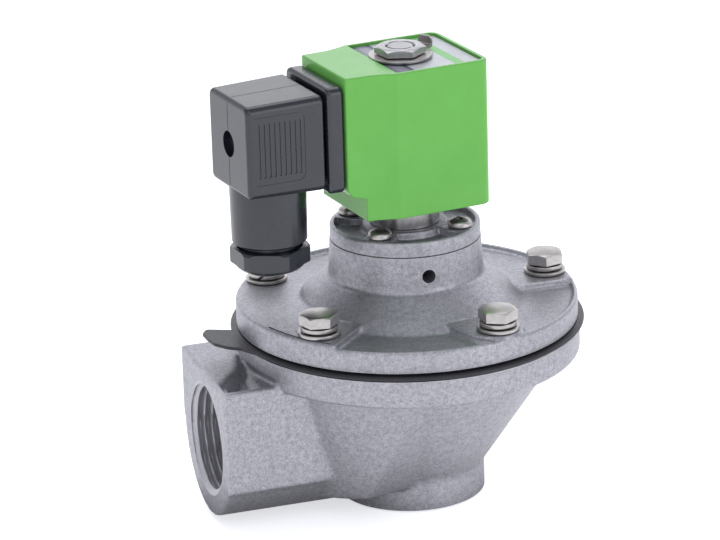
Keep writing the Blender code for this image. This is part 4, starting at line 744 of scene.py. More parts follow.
# %% [markdown]
# ## Body casting
#
# The body is the hardest form. A round flange carries a slanted bowl, whose outline is the hull of two circles that
# come together under the flange. It runs down into a round collar for the outlet. The boss that carries the inlet is
# square above, with a sunk top, and round below. Such a form could be sculpted, but a real body is drawn from circles
# and flats, so it is drawn from them here in the rough, melted into one skin, and then bored and faced.

# %% Rough body
FLANGE_TOP, FLANGE_FOOT, FLANGE_EDGE, COLLAR = 51.2, 43.0, 50.5, 21.7
INLET_X, INLET_Z = -62.6, 23.9
BOSS_NEAR, BOSS_FAR, BOSS_TOP = 21.2, 23.9, 44.8
BOWL_FOOT, BOWL_HEIGHT = 7.0, 36.0


def bowl_circles(level):
    """The bowl's two circles at a level: radius of the front one, radius of the heel one, and their distance."""
    share = min((level - BOWL_FOOT) / BOWL_HEIGHT, 0.999)
    return 20.4 + 24.2 * share, 24.0 + 20.6 * share, 15.4 * (1.0 - share)


def bowl_ring(level, inset=0.0, steps=80):
    front, heel, shift = bowl_circles(level)
    front, heel = front - inset, heel - inset
    lean = degrees(asin((heel - front) / shift))
    outline = arc(0.0, 0.0, front, -90.0 - lean, 90.0 + lean, steps)
    outline += arc(-shift, 0.0, heel, 90.0 + lean, 270.0 - lean, steps)
    return [(u, v, level) for u, v in outline]


def crown_ring(level, spread):
    """The raised part of the boss's top at one level. Its edge towards the near side runs aslant to the flange."""
    edge = [(-61.7, -11.7), (-59.7, -9.6), (-57.1, -6.8), (-54.2, -3.4), (-52.0, 1.6), (-50.6, 6.8),
            (-49.0, 11.4), (-46.0, 16.0)]
    outline = []
    for i, (x, y) in enumerate(edge):
        before, after = edge[max(i - 1, 0)], edge[min(i + 1, len(edge) - 1)]
        run = Vector((after[0] - before[0], after[1] - before[1])).normalized()
        outline.append((x + spread * run.y, y - spread * run.x, level))
    return outline + [(-44.0, 23.0, level), (INLET_X + 0.4, 23.0, level), (INLET_X + 0.4, -11.7, level)]


def inlet_boss():
    """Square above and round below, with a pocket in its top beside the round shell of the bore."""
    square = [(BOSS_FAR, 25.0), (BOSS_FAR, BOSS_TOP), (-BOSS_NEAR, BOSS_TOP), (-BOSS_NEAR, 13.4)]
    outline = rounded(square, [0, 1.2, 1.0, 0.5], 6)
    outline += arc(0.0, INLET_Z, 22.8, 210.0, 356.0, 60)
    boss = prism("boss", outline, INLET_X, -16.0, "X")
    pocket = box_outline(INLET_X + 1.4, -40.0, -BOSS_NEAR + 2.2, 18.9, 1.2)
    combine(boss, prism("pocket", pocket, 33.0, BOSS_TOP + 2.0))
    shell = rod("shell", 19.3, INLET_X + 0.5, -38.0, "X", (0.0, INLET_Z), 160)
    step = loft("step", [[(-54.5 - low, -19.5, z), (-40.0, -19.5, z), (-40.0, 2.0, z), (-54.5 - low, 2.0, z)]
                         for z, low in ((30.0, 4.0), (38.5, 2.0), (42.2, -2.2), (43.4, -5.0))])
    crown = loft("crown", [crown_ring(level, spread) for level, spread in
                           ((30.0, 5.5), (40.5, 4.2), (43.0, 2.6), (44.3, 1.0), (44.75, 0.0))])
    return [boss, shell, step, crown]


def rough_body():
    spare = 1.5
    rim = [(0, FLANGE_FOOT), (FLANGE_EDGE - 0.6, FLANGE_FOOT), (FLANGE_EDGE, FLANGE_FOOT + 0.6),
           (FLANGE_EDGE, FLANGE_TOP + spare), (0, FLANGE_TOP + spare)]
    flange = turned("body_shell", rim, 200)
    bowl = loft("bowl", [bowl_ring(BOWL_FOOT), bowl_ring(43.0), [(u, v, 46.0) for u, v, w in bowl_ring(43.0)]])
    collar = turned("collar", [(0, -spare), (COLLAR, -spare), (COLLAR, 12.0), (0, 12.0)], 160)
    undercut = turned("undercut", [(49.0, 41.0), (53.0, 41.0), (53.0, 46.2), (49.6, 46.2), (49.0, 45.6)], 200)
    combine(undercut, prism("reach", box_outline(-60.0, -30.0, -18.9, 18.9, 0.0), 40.0, 48.0), "INTERSECT")
    combine(flange, undercut)
    return melt([flange, bowl, collar] + inlet_boss())


def bowl_face(point):
    """Distance from the bowl: at each level it is the hull of a front circle and a heel circle."""
    if not 9.5 < point.z < 42.3:
        return None
    front, heel, shift = bowl_circles(point.z)
    lean = asin((heel - front) / shift)
    along, side = -point.x, abs(point.y)
    place = along * cos(lean) - side * sin(lean)
    if place < 0.0 or place > shift * cos(lean):
        centre, radius = (0.0, front) if place < 0.0 else (shift, heel)
        reach = max(sqrt((along - centre) ** 2 + side ** 2), 0.001)
        away, out = reach - radius, ((along - centre) / reach, side / reach)
    else:
        away, out = along * sin(lean) + side * cos(lean) - front, (sin(lean), cos(lean))
    return away, (-out[0], out[1] if point.y > 0.0 else -out[1], 0.0)


body = rough_body()
cast_skin(body, 0.6, 5)
print("body skin:", triangles(body), "triangles")
trued = true_up(body, [round_face(43.9, 52.0, FLANGE_EDGE), bowl_face, round_face(-1.0, 8.0, COLLAR)])
print("points trued up:", trued)


def near_seams(point):
    """Large where the boss and the collar run into the bowl."""
    boss_seam = collar_seam = 0.0
    found = bowl_face(point)
    if found and point.x < -12.0:
        side = BOSS_NEAR if point.y < 0.0 else BOSS_FAR
        boss_seam = 1.0 - sqrt(found[0] ** 2 + (abs(point.y) - side) ** 2) / 5.0
    if sqrt(point.x ** 2 + point.y ** 2) < 25.0 and point.z > 6.0:
        collar_seam = 0.8 - abs(point.z - 9.5) / 3.5
    return max(boss_seam, collar_seam)


soften(body, near_seams, 40)

# %% [markdown]
# The inlet's pipe thread can be seen in the photograph, so it is cut as a real screw: a rod whose radius rises and
# falls once for each turn. A picture of a thread would be flat where the light grazes it. The flats, both bores, the
# annular chamber and the five tapped holes are cut too.

# %% Bore and face the body
THREAD_PITCH, THREAD_MEAN, THREAD_DEPTH, THREAD_LENGTH, THREAD_MOUTH = 2.309, 15.85, 0.72, 16.0, 16.9
BOLT_REACH, BOLT_HOLE = 43.2, 3.3
TO_INLET = Matrix.Translation((INLET_X * MM, 0.0, INLET_Z * MM)) @ Matrix.Rotation(radians(90), 4, "Y")


def thread_cutter():
    """A rod with a screw surface, standing on the XY plane with its mouth chamfer at the foot."""
    around, rise = 96, 10
    rows = int(THREAD_LENGTH / THREAD_PITCH * rise)
    rings = []
    for row in range(-4, rows + 1):
        level = row * THREAD_PITCH / rise
        ring = []
        for i in range(around):
            phase = (level / THREAD_PITCH - i / around) % 1.0
            tooth = 2.0 * abs(2.0 * phase - 1.0) - 1.0
            tooth = max(-0.8, min(0.8, tooth)) / 0.8
            fade = min(1.0, max(0.0, (THREAD_LENGTH - level) / 2.0))
            radius = THREAD_MEAN - THREAD_DEPTH * (1.0 - fade) + THREAD_DEPTH * tooth * fade
            radius = max(radius, THREAD_MOUTH - 2.0 * max(level, 0.0))
            ring.append((radius * cos(tau * i / around), radius * sin(tau * i / around), level))
        rings.append(ring)
    return loft("thread", rings)


def cut_body():
    carve(body, prism("foot", box_outline(-80, 60, -60, 60, 0), -10, 0))
    carve(body, prism("top", box_outline(-80, 60, -60, 60, 0), FLANGE_TOP, 60))
    chamber = loft("chamber", [bowl_ring(14.0, 5.2), [(u, v, 43.0) for u, v, w in bowl_ring(43.0, 10.6)],
                               [(u, v, 52.0) for u, v, w in bowl_ring(43.0, 10.6)]])
    seat = [(0, 0), (19.3, 0), (19.3, 19.0), (16.6, 23.0), (16.6, 48.4), (15.2, 50.6), (14.9, 51.2), (14.9, 53.0),
            (0, 53.0)]
    combine(chamber, turned("seat", seat, 96))
    carve(body, chamber)
    carve(body, thread_cutter())
    carve(body, turned("bore", [(0, 14.0), (15.1, 14.0), (15.1, 16.4), (13.5, 18.6), (13.5, 53.0), (0, 53.0)], 96))
    passage = [(0, 14.0), (15.1, 14.0), (15.1, 16.4), (14.0, 18.0), (14.0, 42.6), (0, 42.6)]
    for tool in (thread_cutter(), turned("passage", passage, 96)):
        tool.data.transform(TO_INLET)
        carve(body, tool)
    for i in range(5):
        place = (BOLT_REACH * cos(tau * i / 5), BOLT_REACH * sin(tau * i / 5))
        carve(body, rod("hole", BOLT_HOLE, 44.2, 53.0, "Z", place, 24))


cut_body()


def body_is_machined(centre, normal):
    flat = centre.z < 0.05 or centre.z > FLANGE_TOP - 0.05
    from_inlet = sqrt(centre.y ** 2 + (centre.z - INLET_Z) ** 2)
    from_axis = sqrt(centre.x ** 2 + centre.y ** 2)
    in_inlet = from_inlet < 17.4 and centre.x < -46.0 and abs(normal.x) < 0.95
    in_outlet = from_axis < 17.4 and centre.z < 17.0 and abs(normal.z) < 0.95
    return flat or in_inlet or in_outlet


cut_faces = hand_over_casting(body, body_is_machined, "body_casting")
print("body:", triangles(body), "triangles,", cut_faces, "faces machined")

# %% [markdown]
# ## Main diaphragm
#
# Only the rim of the rubber shows, as a black line all round, with one thin tab towards the inlet to pull it free by.
# The rim is turned and the tab is cut from an outline that flares into the rim at the front. The rubber itself keeps
# its form when the valve opens. Its middle is cut out wide enough that the bolt of the clamping plates can rise.

# %% Main diaphragm
TAB_TURN = 175.3


def diaphragm_rubber():
    lower = [(0, 51.5), (49.9, 51.5), (50.3, 51.8), (51.8, 51.8)]
    upper = [(51.8, 53.0), (50.3, 53.0), (49.9, 53.3), (0, 53.3)]
    disc = turned("diaphragm_rubber", rounded(lower + upper, [0, 0, 0, 0.58, 0.58, 0, 0, 0], 5), 240)
    stem = [(46.0, -4.0), (50.6, -4.2), (58.7, -7.4), (60.4, -4.2), (59.9, 0.6), (58.8, 5.2), (55.9, 9.0),
            (52.4, 11.3), (50.2, 14.6), (47.6, 18.8), (44.0, 18.8)]
    tab = prism("tab", rounded(stem, [0, 0, 1.2, 1.6, 2.0, 2.5, 3.0, 3.0, 6.0, 0, 0], 5), 51.9, 52.9)
    bevel(tab, 0.3, 2, 50.0)
    combine(disc, tab, "UNION")
    combine(disc, rod("hole", 6.2, 50.0, 55.0, steps=48))
    for i in range(5):
        angle = radians(72.0 * i - TAB_TURN)
        place = (BOLT_REACH * cos(angle), BOLT_REACH * sin(angle))
        combine(disc, rod("hole", BOLT_HOLE, 50.0, 55.0, "Z", place, 24))
    disc.data.transform(Matrix.Rotation(radians(TAB_TURN), 4, "Z"))
    return disc


rubber = diaphragm_rubber()
hand_over(rubber, "valve_body", "black_rubber", [RUBBER], "main_diaphragm")
print("diaphragm:", triangles(rubber), "triangles")

# %% [markdown]
# ## Cover casting
#
# The cover is a round plate with a cone and a neck. Its bolt pads stand a little proud of a floor that is sunk
# behind a low lip at the rim, and the two pads beside the inlet run together. The rough plate, pads, cone and neck
# are melted into one skin like the body's, and the inside is cut as it is in the CAD.

# %% Rough cover
PAD_TOP = 60.8


def cover_pad(angle, half):
    strip = rounded([(49.4, half), (27.0, half), (27.0, -half), (49.4, -half)], [0.8, 0, 0, 0.8])
    pad = prism("pad", strip, 56.0, PAD_TOP)
    pad.data.transform(Matrix.Rotation(radians(angle), 4, "Z"))
    return combine(pad, turned("disc", [(0, 50), (49.7, 50), (49.7, 59.9), (48.8, 62), (0, 62)], 200), "INTERSECT")


def round_pad(angle, half):
    strip = arc(BOLT_REACH - 2.4, 0, half, -90, 90, 24) + [(27.0, half), (27.0, -half)]
    pad = prism("pad", strip, 56.0, PAD_TOP)
    pad.data.transform(Matrix.Rotation(radians(angle), 4, "Z"))
    return pad


def sector(name, outline, start, end):
    """A turned shape, kept only between two angles."""
    wedge = prism("wedge", [(0.0, 0.0)] + arc(0, 0, 70.0, start, end, 40), 30.0, 90.0)
    return combine(turned(name, outline, 200), wedge, "INTERSECT")


def joined_pads():
    """The pads at 144 and 216 degrees, run together."""
    band = [(26.0, 55.0), (49.95, 55.0), (49.95, PAD_TOP - 0.4), (49.5, PAD_TOP), (26.0, PAD_TOP)]
    return sector("band", band, 133.2, 226.8)


def rough_cover():
    rim = [(0, 52.1), (50.0, 52.1), (50.0, 59.5), (49.5, 60.0), (48.9, 60.0), (48.5, 58.6), (33.8, 58.6)]
    cone = [(33.0, 59.3), (30.0, 62.0), (24.1, 66.8), (22.9, 67.5)]
    neck = [(22.6, 68.8), (21.95, 79.6), (0, 79.6)]
    plate = turned("cover_shell", rim + cone + neck, 200)
    return melt([plate, cover_pad(0.0, 8.9), round_pad(72.0, 8.8), round_pad(288.0, 8.8), joined_pads()])


cover = rough_cover()
cast_skin(cover, 0.46, 3)
print("cover skin:", triangles(cover), "triangles")
rim_face, neck_face = round_face(52.5, 59.4, 50.0), round_face(69.3, 79.0, 22.55, 21.98)
trued = true_up(cover, [rim_face, neck_face, round_face(62.3, 66.6, 29.6, 24.3)], 4)
print("points trued up:", trued)

# %% [markdown]
# The underside and the neck's top are milled flat, and the chamber, the ring groove of the pilot stage, the exhaust
# hole and the screw holes are cut. The narrow groove along the rim beside the joined pads comes last: had it been in
# the rough shapes, the skin would have closed it.

# %% Cut the cover
COVER_FOOT, NECK_TOP = 53.6, 78.1
SCREW_REACH, SCREW_HOLE = 17.4, 2.3
SCREW_TURNS = [47.0 + 90.0 * i for i in range(4)]


def cut_cover():
    carve(cover, prism("under", box_outline(-60, 60, -60, 60, 0), 45.0, COVER_FOOT))
    carve(cover, prism("over", box_outline(-60, 60, -60, 60, 0), NECK_TOP, 90.0))
    cavity = [(0, 52.0), (34.0, 52.0), (34.0, 56.0), (24.5, 62.6), (15.0, 62.6), (15.0, 67.2), (6.2, 67.2),
              (6.2, 77.5), (0, 77.5)]
    carve(cover, turned("cavity", cavity, 128))
    carve(cover, turned("seat", [(0, 76.6), (14.8, 76.6), (14.8, 80.0), (0, 80.0)], 96))
    carve(cover, turned("groove", [(8.2, 70.2), (12.9, 70.2), (12.9, 77.0), (8.2, 77.0)], 96))
    vent = rod("vent", 2.0, 9.0, 26.0, "X", (0.0, 72.35), 40)
    vent.data.transform(Matrix.Rotation(radians(-91.5), 4, "Z"))
    carve(cover, vent)
    for i in range(5):
        place = (BOLT_REACH * cos(tau * i / 5), BOLT_REACH * sin(tau * i / 5))
        carve(cover, rod("hole", BOLT_HOLE, 50.0, 64.0, "Z", place, 32))
    for turn in SCREW_TURNS:
        place = (SCREW_REACH * cos(radians(turn)), SCREW_REACH * sin(radians(turn)))
        carve(cover, rod("hole", SCREW_HOLE, 70.1, 80.0, "Z", place, 24))
    carve(cover, sector("rim_groove", [(48.3, 59.9), (48.9, 59.9), (49.2, 63.0), (48.0, 63.0)], 197.0, 225.0))


def cover_is_machined(centre, normal):
    return centre.z < COVER_FOOT + 0.05 or centre.z > NECK_TOP - 0.05


cut_cover()
cut_faces = hand_over_casting(cover, cover_is_machined, "cover_casting")
print("cover:", triangles(cover), "triangles,", cut_faces, "faces machined")

# %% [markdown]
# ## Bolts and washers
#
# Five hexagon bolts hold the cover, each on a split spring washer and a flat washer. A real bolt head is a hexagon
# whose top corners a cone has turned away, with a slightly crowned top. The hexagon is cut by that cone, and its
# edges get a small bevel so that they catch the light.

# %% Bolts
def hexagon(flats, turn=0.0, corner=0.3):
    reach = flats / sqrt(3.0)
    points = [(reach * cos(radians(turn + 60 * i)), reach * sin(radians(turn + 60 * i))) for i in range(6)]
    return rounded(points, corner, 3)


def bolt_head(name, flats, low, high, turn, crown=0.5):
    """A hexagon cut by a turned cap with a chamfer and a crowned top."""
    head = prism(name, hexagon(flats, turn), low, high + crown)
    reach, flat, rim = flats / sqrt(3.0), flats * 0.49, high - 0.25
    cap = [(0, low - 1.0), (reach + 1.0, low - 1.0), (reach + 1.0, high - 1.35), (flat, rim)]
    cap += [(flat * (1 - i / 6), rim + crown * sin(radians(15 * i))) for i in range(1, 6)] + [(0, rim + crown)]
    combine(head, turned("cap", cap, 64), "INTERSECT")
    return head


def split_washer(name, inner, outer, low, high):
    """A square wire ring with a slanted split, its ends a little out of line."""
    section = rounded([(inner, low + 0.1), (outer, low + 0.1), (outer, high - 0.1), (inner, high - 0.1)], 0.15, 2)
    slant, rows, steps = 0.25, [], 72
    for i in range(steps + 1):
        angle = radians(6.0 + 348.0 * i / steps)
        lift = 0.16 * (i / steps - 0.5)
        rows.append([(radius * cos(angle + slant * (level - low)), radius * sin(angle + slant * (level - low)),
                      level + lift) for radius, level in section])
    return loft(name, rows)


def flat_ring(name, inner, outer, low, high, edge=0.2, steps=96):
    return turned(name, rounded([(inner, low), (outer, low), (outer, high), (inner, high)], edge, 3), steps)


bolt_pattern = bolt_head("bolt", 10.0, 64.0, 67.4, 15.0)
bevel(bolt_pattern, 0.12, 2, 30.0)
combine(bolt_pattern, turned("shank", [(0, 45.2), (2.6, 45.2), (3.0, 45.8), (3.0, 64.2), (0, 64.2)], 48), "UNION")
split_pattern = split_washer("split", 3.25, 5.35, 62.3, 63.7)
flat_pattern = flat_ring("flat", 3.3, 6.15, 61.0, 62.05, 0.25)


def place_fasteners():
    for i, turn in enumerate((0.0, 22.0, 8.0, -4.0, 31.0)):
        reach = Matrix.Rotation(tau * i / 5, 4, "Z") @ Matrix.Translation((BOLT_REACH * MM, 0, 0))
        kinds = (("hex_bolt", bolt_pattern, "cover_bolt", turn),
                 ("split_ring", split_pattern, "spring_washer", 40.0 * i),
                 ("plain_washer", flat_pattern, "flat_washer", 25.0 * i))
        for label, pattern, cad, twist in kinds:
            copy = copy_of(pattern, f"{label}_{i + 1}", reach @ Matrix.Rotation(radians(twist), 4, "Z"))
            hand_over(copy, "valve_body", "bright_steel", [BRIGHT], f"{cad}_{i + 1}", angle=28.0)


place_fasteners()
for pattern in (bolt_pattern, split_pattern, flat_pattern):
    bpy.data.objects.remove(pattern, do_unlink=True)
print("fasteners handed over:", len(made) - 3)

# %% [markdown]
# ## Pilot plate and its screws
#
# The small cap of the neck is cast too: a rim, a hub that carries the core tube, and four bosses with a sunk floor
# between them. Its skin is made with finer voxels, as its walls are thin, and thinned to half its faces afterwards.

# %% Pilot plate
CAP_EDGE = 21.9


def rough_pilot_plate():
    dish = [(0, 77.4), (CAP_EDGE, 77.4), (CAP_EDGE, 82.3), (21.5, 82.7), (20.5, 82.7), (20.1, 80.4), (12.9, 80.4),
            (12.3, 82.7), (0, 82.7)]
    parts = [turned("pilot_cap", dish, 160)]
    for turn in SCREW_TURNS:
        lug = prism("lug", [(21.0, 4.5)] + arc(15.8, 0, 4.5, 90, 270, 20) + [(21.0, -4.5)], 79.0, 82.6)
        lug.data.transform(Matrix.Rotation(radians(turn), 4, "Z"))
        parts.append(lug)
    return melt(parts)


pilot_cap = rough_pilot_plate()
cast_skin(pilot_cap, 0.3, 4, 0.5)
true_up(pilot_cap, [round_face(78.6, 82.0, CAP_EDGE)], 2)


def cut_pilot_plate():
    carve(pilot_cap, prism("under", box_outline(-30, 30, -30, 30, 0), 70.0, 78.4))
    room = [(0, 77.0), (11.0, 77.0), (11.0, 80.2), (8.2, 80.2), (8.2, 82.0), (0, 82.0)]
    carve(pilot_cap, turned("room", room, 96))
    hub = rounded([(0.9, 81.9), (8.6, 81.9), (8.6, 84.6), (0.9, 84.6)], [0, 0, 0.3, 0.2], 3)
    combine(pilot_cap, turned("hub", hub, 96), "UNION", "MANIFOLD")
    carve(pilot_cap, rod("nozzle", 0.9, 81.0, 90.0, steps=32))
    for turn in SCREW_TURNS:
        place = (SCREW_REACH * cos(radians(turn)), SCREW_REACH * sin(radians(turn)))
        carve(pilot_cap, rod("hole", SCREW_HOLE, 77.0, 86.0, "Z", place, 32))


cut_pilot_plate()
hand_over(pilot_cap, "valve_body", "cast_aluminium", [CAST], "pilot_plate")
print("pilot plate:", triangles(pilot_cap), "triangles")

# %% [markdown]
# Four pan-head screws hold the cap. A real recess is pressed by a punch whose four wings narrow downwards, so two
# crossed blades of that form are cut out of the turned head. No two screws stop at the same turn.

# %% Pan-head screws
def pan_screw():
    low, high, radius = 82.8, 85.3, 3.5
    brim = low + 0.9
    outline = [(0, 71.1), (2.0, 71.1), (2.0, low), (radius - 0.2, low), (radius, low + 0.3), (radius, brim)]
    outline += [(radius * cos(radians(angle)), brim + (high - low - 0.9) * sin(radians(angle)))
                for angle in (18, 34, 48, 60, 72, 82)]
    screw = turned("pan", outline + [(0, high)], 64)
    wing = [(2.2, -0.5), (2.2, 0.5), (-2.2, 0.5), (-2.2, -0.5)]
    for turn in (0.0, 90.0):
        blade = loft("wing", [[(u * share, v, level) for u, v in wing]
                              for share, level in ((0.35, high - 1.5), (1.0, high + 0.2))])
        blade.data.transform(Matrix.Rotation(radians(turn), 4, "Z"))
        combine(screw, blade)
    return bevel(screw, 0.06, 2, 40.0)


pan_pattern = pan_screw()
for i, twist in enumerate((20.0, 65.0, 5.0, 48.0)):
    place = Matrix.Rotation(radians(SCREW_TURNS[i]), 4, "Z") @ Matrix.Translation((SCREW_REACH * MM, 0, 0))
    copy = copy_of(pan_pattern, f"pan_screw_{i + 1}", place @ Matrix.Rotation(radians(twist), 4, "Z"))
    hand_over(copy, "valve_body", "bright_steel", [BRIGHT], f"pilot_screw_{i + 1}", angle=30.0)
print("one pan-head screw:", triangles(pan_pattern), "triangles")
bpy.data.objects.remove(pan_pattern, do_unlink=True)

# %% [markdown]
# The core tube guides the plunger. Its wide foot shows as a dark collar between the cap and the coil, and the rest
# stands inside the coil. A lathe makes it in one piece, so one turned outline is enough.

# %% Core tube
tube_outline = [(8.9, 82.9), (10.2, 82.9), (10.2, 87.0), (9.8, 87.6), (7.3, 87.6), (7.0, 87.9), (7.0, 124.0),
                (6.1, 124.0), (6.1, 84.9), (8.9, 84.9)]
core_sleeve = turned("core_sleeve", tube_outline, 96)
hand_over(core_sleeve, "valve_body", "plain_steel", [PLAIN], "core_tube", angle=30.0)
print("core tube:", triangles(core_sleeve), "triangles")

# %% [markdown]
# ## Coil housing
#
# The coil's moulding is a tall block with full corners on the right. Its sides draw in towards the connector, and
# the end above the connector's port is cut away below. The block stands turned by seven degrees, so its pieces are
# drawn square and their objects carry the turn. It is one clean moulding, so it is bevelled and not melted.

# %% Coil housing
COIL_TURN = Matrix.Rotation(radians(7.3), 4, "Z")


def on_coil(piece, *rest, **named):
    piece.matrix_world = COIL_TURN
    return hand_over(piece, *rest, **named)


def coil_plan(inset=0.0, back=-24.5):
    side, front = 17.5 - inset, 20.0 - inset
    upper = [(front, side), (-9.7, side), (-12.6, 16.2 - inset), (-16.4, 15.05 - inset), (back, 14.7 - inset)]
    radii = [3.3 - 0.8 * inset, 2.0, 5.0, 8.0, 0.6]
    lower = [(u, -v) for u, v in reversed(upper)]
    return rounded(upper + lower, radii + list(reversed(radii)), 8)


def coil_block():
    block = prism("coil_block", coil_plan(), 89.3, 132.4)
    under = [(-30.0, 85.0), (-18.9, 85.0), (-18.9, 96.1), (-19.4, 96.35), (-23.0, 97.2), (-24.6, 98.9), (-30.0, 98.9)]
    combine(block, prism("under", under, -20, 20, "Y"))
    bevel(block, 1.1, 5, 40.0)
    recess = [(18.7, 16.2), (-9.2, 16.2), (-9.2, -16.2), (18.7, -16.2)]
    combine(block, prism("recess", rounded(recess, [2.2, 0.8, 0.8, 2.2], 8), 131.0, 140.0))
    combine(block, prism("room", box_outline(-16.7, 17.8, -15.2, 15.2, 1.2), 85.0, 129.4))
    return combine(block, rod("bore", 7.4, 85.0, 140.0, steps=64))


coil = coil_block()
on_coil(coil, "valve_body", "green_moulding", [GREEN], "coil_housing", angle=30.0)
print("coil housing:", triangles(coil), "triangles")

# %% [markdown]
# ## Label, clip and nut
#
# A thin silver plate lies in the recess under a bright clip, and a nut holds them down. The plate carries nothing
# but stripes. The stripes are set by the distance along the plate, inside its material.

# %% Label plate
def striped_plate():
    material = SILVER.copy()
    material.name = "striped_silver_plate"
    tree = material.node_tree
    shader = tree.nodes["Principled BSDF"]
    plain = shader.inputs["Base Color"].links[0].from_socket
    along = node(tree, "ShaderNodeSeparateXYZ", {0: node(tree, "ShaderNodeTexCoord").outputs["Object"]}).outputs["X"]

    def stripe(low, high):
        up = calc(tree, "GREATER_THAN", along, low * MM)
        return calc(tree, "MULTIPLY", up, calc(tree, "LESS_THAN", along, high * MM))

    colour = blend(tree, stripe(-9.5, -2.4), plain, (0.16, 0.18, 0.21))
    colour = blend(tree, stripe(-6.9, -4.0), colour, (0.28, 0.27, 0.34))
    colour = blend(tree, stripe(-3.4, -2.4), colour, (0.09, 0.10, 0.16))
    colour = blend(tree, stripe(10.4, 13.4), colour, (0.20, 0.48, 0.17))
    tree.links.new(colour, shader.inputs["Base Color"])
    return material


sheet = rounded([(18.3, 15.8), (-8.9, 15.8), (-8.9, -15.8), (18.3, -15.8)], [2.0, 0.6, 0.6, 2.0], 6)
plate = prism("label_sheet", sheet, 131.3, 131.7)
combine(plate, rod("hole", 4.2, 130.0, 133.0, steps=64))
bevel(plate, 0.08, 1, 50.0)
on_coil(plate, "valve_body", "label_silver", [striped_plate()], "label_plate")
print("label plate:", triangles(plate), "triangles")

# %% [markdown]
# The clip is a washer with a narrow tongue, whose end is bent up beside the nut. It is stamped from sheet, so the
# tongue is drawn from the side as a bent strip and trimmed from the front to its rounded end.

# %% Clip and nut
def clip_with_tongue():
    clip = flat_ring("clip", 4.2, 9.2, 132.0, 132.8, 0.2)
    half = 2.3
    strip = [(6.5, 132.0), (12.7, 132.0), (12.7, 135.4), (11.95, 135.4), (11.95, 132.8), (6.5, 132.8)]
    tongue = prism("tongue", rounded(strip, [0, 0.9, 0.35, 0.35, 0.5, 0], 4), -half, half, "Y")
    end = [(-half, 131.0), (half, 131.0), (half, 135.3), (-half, 135.3)]
    front = prism("front", rounded(end, [0, 0, 1.4, 1.4], 6), 10.5, 14.0, "X")
    base = prism("base", box_outline(0, 11.9, -half, half, 0), 131.0, 133.0)
    combine(front, base, "UNION")
    combine(tongue, front, "INTERSECT")
    tongue.data.transform(Matrix.Rotation(radians(28.0), 4, "Z"))
    return bevel(combine(clip, tongue, "UNION"), 0.12, 2, 40.0)


def coil_nut():
    nut = bolt_head("nut", 13.0, 133.1, 135.45, 34.2, 0.1)
    bevel(nut, 0.15, 2, 30.0)
    bore = [(0, 132.0), (4.9, 132.0), (4.2, 133.8), (4.2, 134.8), (4.9, 136.0), (0, 136.0)]
    return combine(nut, turned("bore", bore, 64))


on_coil(clip_with_tongue(), "valve_body", "bright_steel", [BRIGHT], "retaining_clip", angle=30.0)
on_coil(coil_nut(), "valve_body", "bright_steel", [PLAIN], "coil_nut", angle=28.0)
print("label, clip and nut handed over")

# %% [markdown]
# ## Connector
#
# A square black connector clips on the coil's port. Its box tapers a little towards its end, where a long screw sits
# deep in a round well. Each flank has nine finger grooves in a thin frame, and a faint seam from the mould runs along
# the top and down the end. The gland's barrel hangs from the box. Lines as fine as these could be left to a bump, but
# cut ones catch the light from every side.

# %% Connector base and box
PLUG_Z, GLAND_X = 114.4, -43.0


def plug_base():
    base = prism("plug_base", box_outline(-14.1, 14.1, PLUG_Z - 15.6, PLUG_Z + 15.6, 2.0), -30.0, -24.8, "X")
    bevel(base, 1.2, 5, 40.0)
    combine(base, rod("hole", 1.8, -31.0, -25.6, "X", (0.0, PLUG_Z), 24))
    for y, z, wide, tall in ((-8.4, PLUG_Z, 0.8, 6.3), (8.4, PLUG_Z, 0.8, 6.3), (0.0, PLUG_Z + 8.4, 6.3, 0.8)):
        slot = box_outline(y - wide / 2 - 0.3, y + wide / 2 + 0.3, z - tall / 2 - 0.3, z + tall / 2 + 0.3, 0)
        combine(base, prism("slot", slot, -31.0, -27.5, "X"))
    return base


def box_ring(x, half, tall, corner):
    return [(x, v, w) for v, w in box_outline(-half, half, PLUG_Z - tall, PLUG_Z + tall, corner, 8)]


def plug_box():
    box = loft("plug_box", [box_ring(-54.5, 13.3, 13.5, 2.1), box_ring(-30.8, 13.9, 14.0, 2.1)])
    bevel(box, 1.3, 5, 50.0)
    barrel = [(0, 79.0), (8.7, 79.0), (8.7, 84.0), (10.45, 84.0), (10.85, 84.5), (11.05, 102.0), (0, 102.0)]
    combine(box, turned("barrel", barrel, 128, (GLAND_X, 0.0)), "UNION")
    combine(box, loft("room", [box_ring(-52.7, 11.5, 11.7, 1.0), box_ring(-30.0, 12.1, 12.2, 1.0)]))
    combine(box, rod("bore", 8.0, 78.0, 103.4, "Z", (GLAND_X, 0.0), 64))
    combine(box, rod("well", 6.3, -53.4, -46.7, "X", (0.0, PLUG_Z), 64), "UNION")
    combine(box, rod("well_bore", 3.8, -56.0, -48.5, "X", (0.0, PLUG_Z), 64))
    combine(box, rod("screw_bore", 1.8, -50.0, -44.9, "X", (0.0, PLUG_Z), 32))
    return box


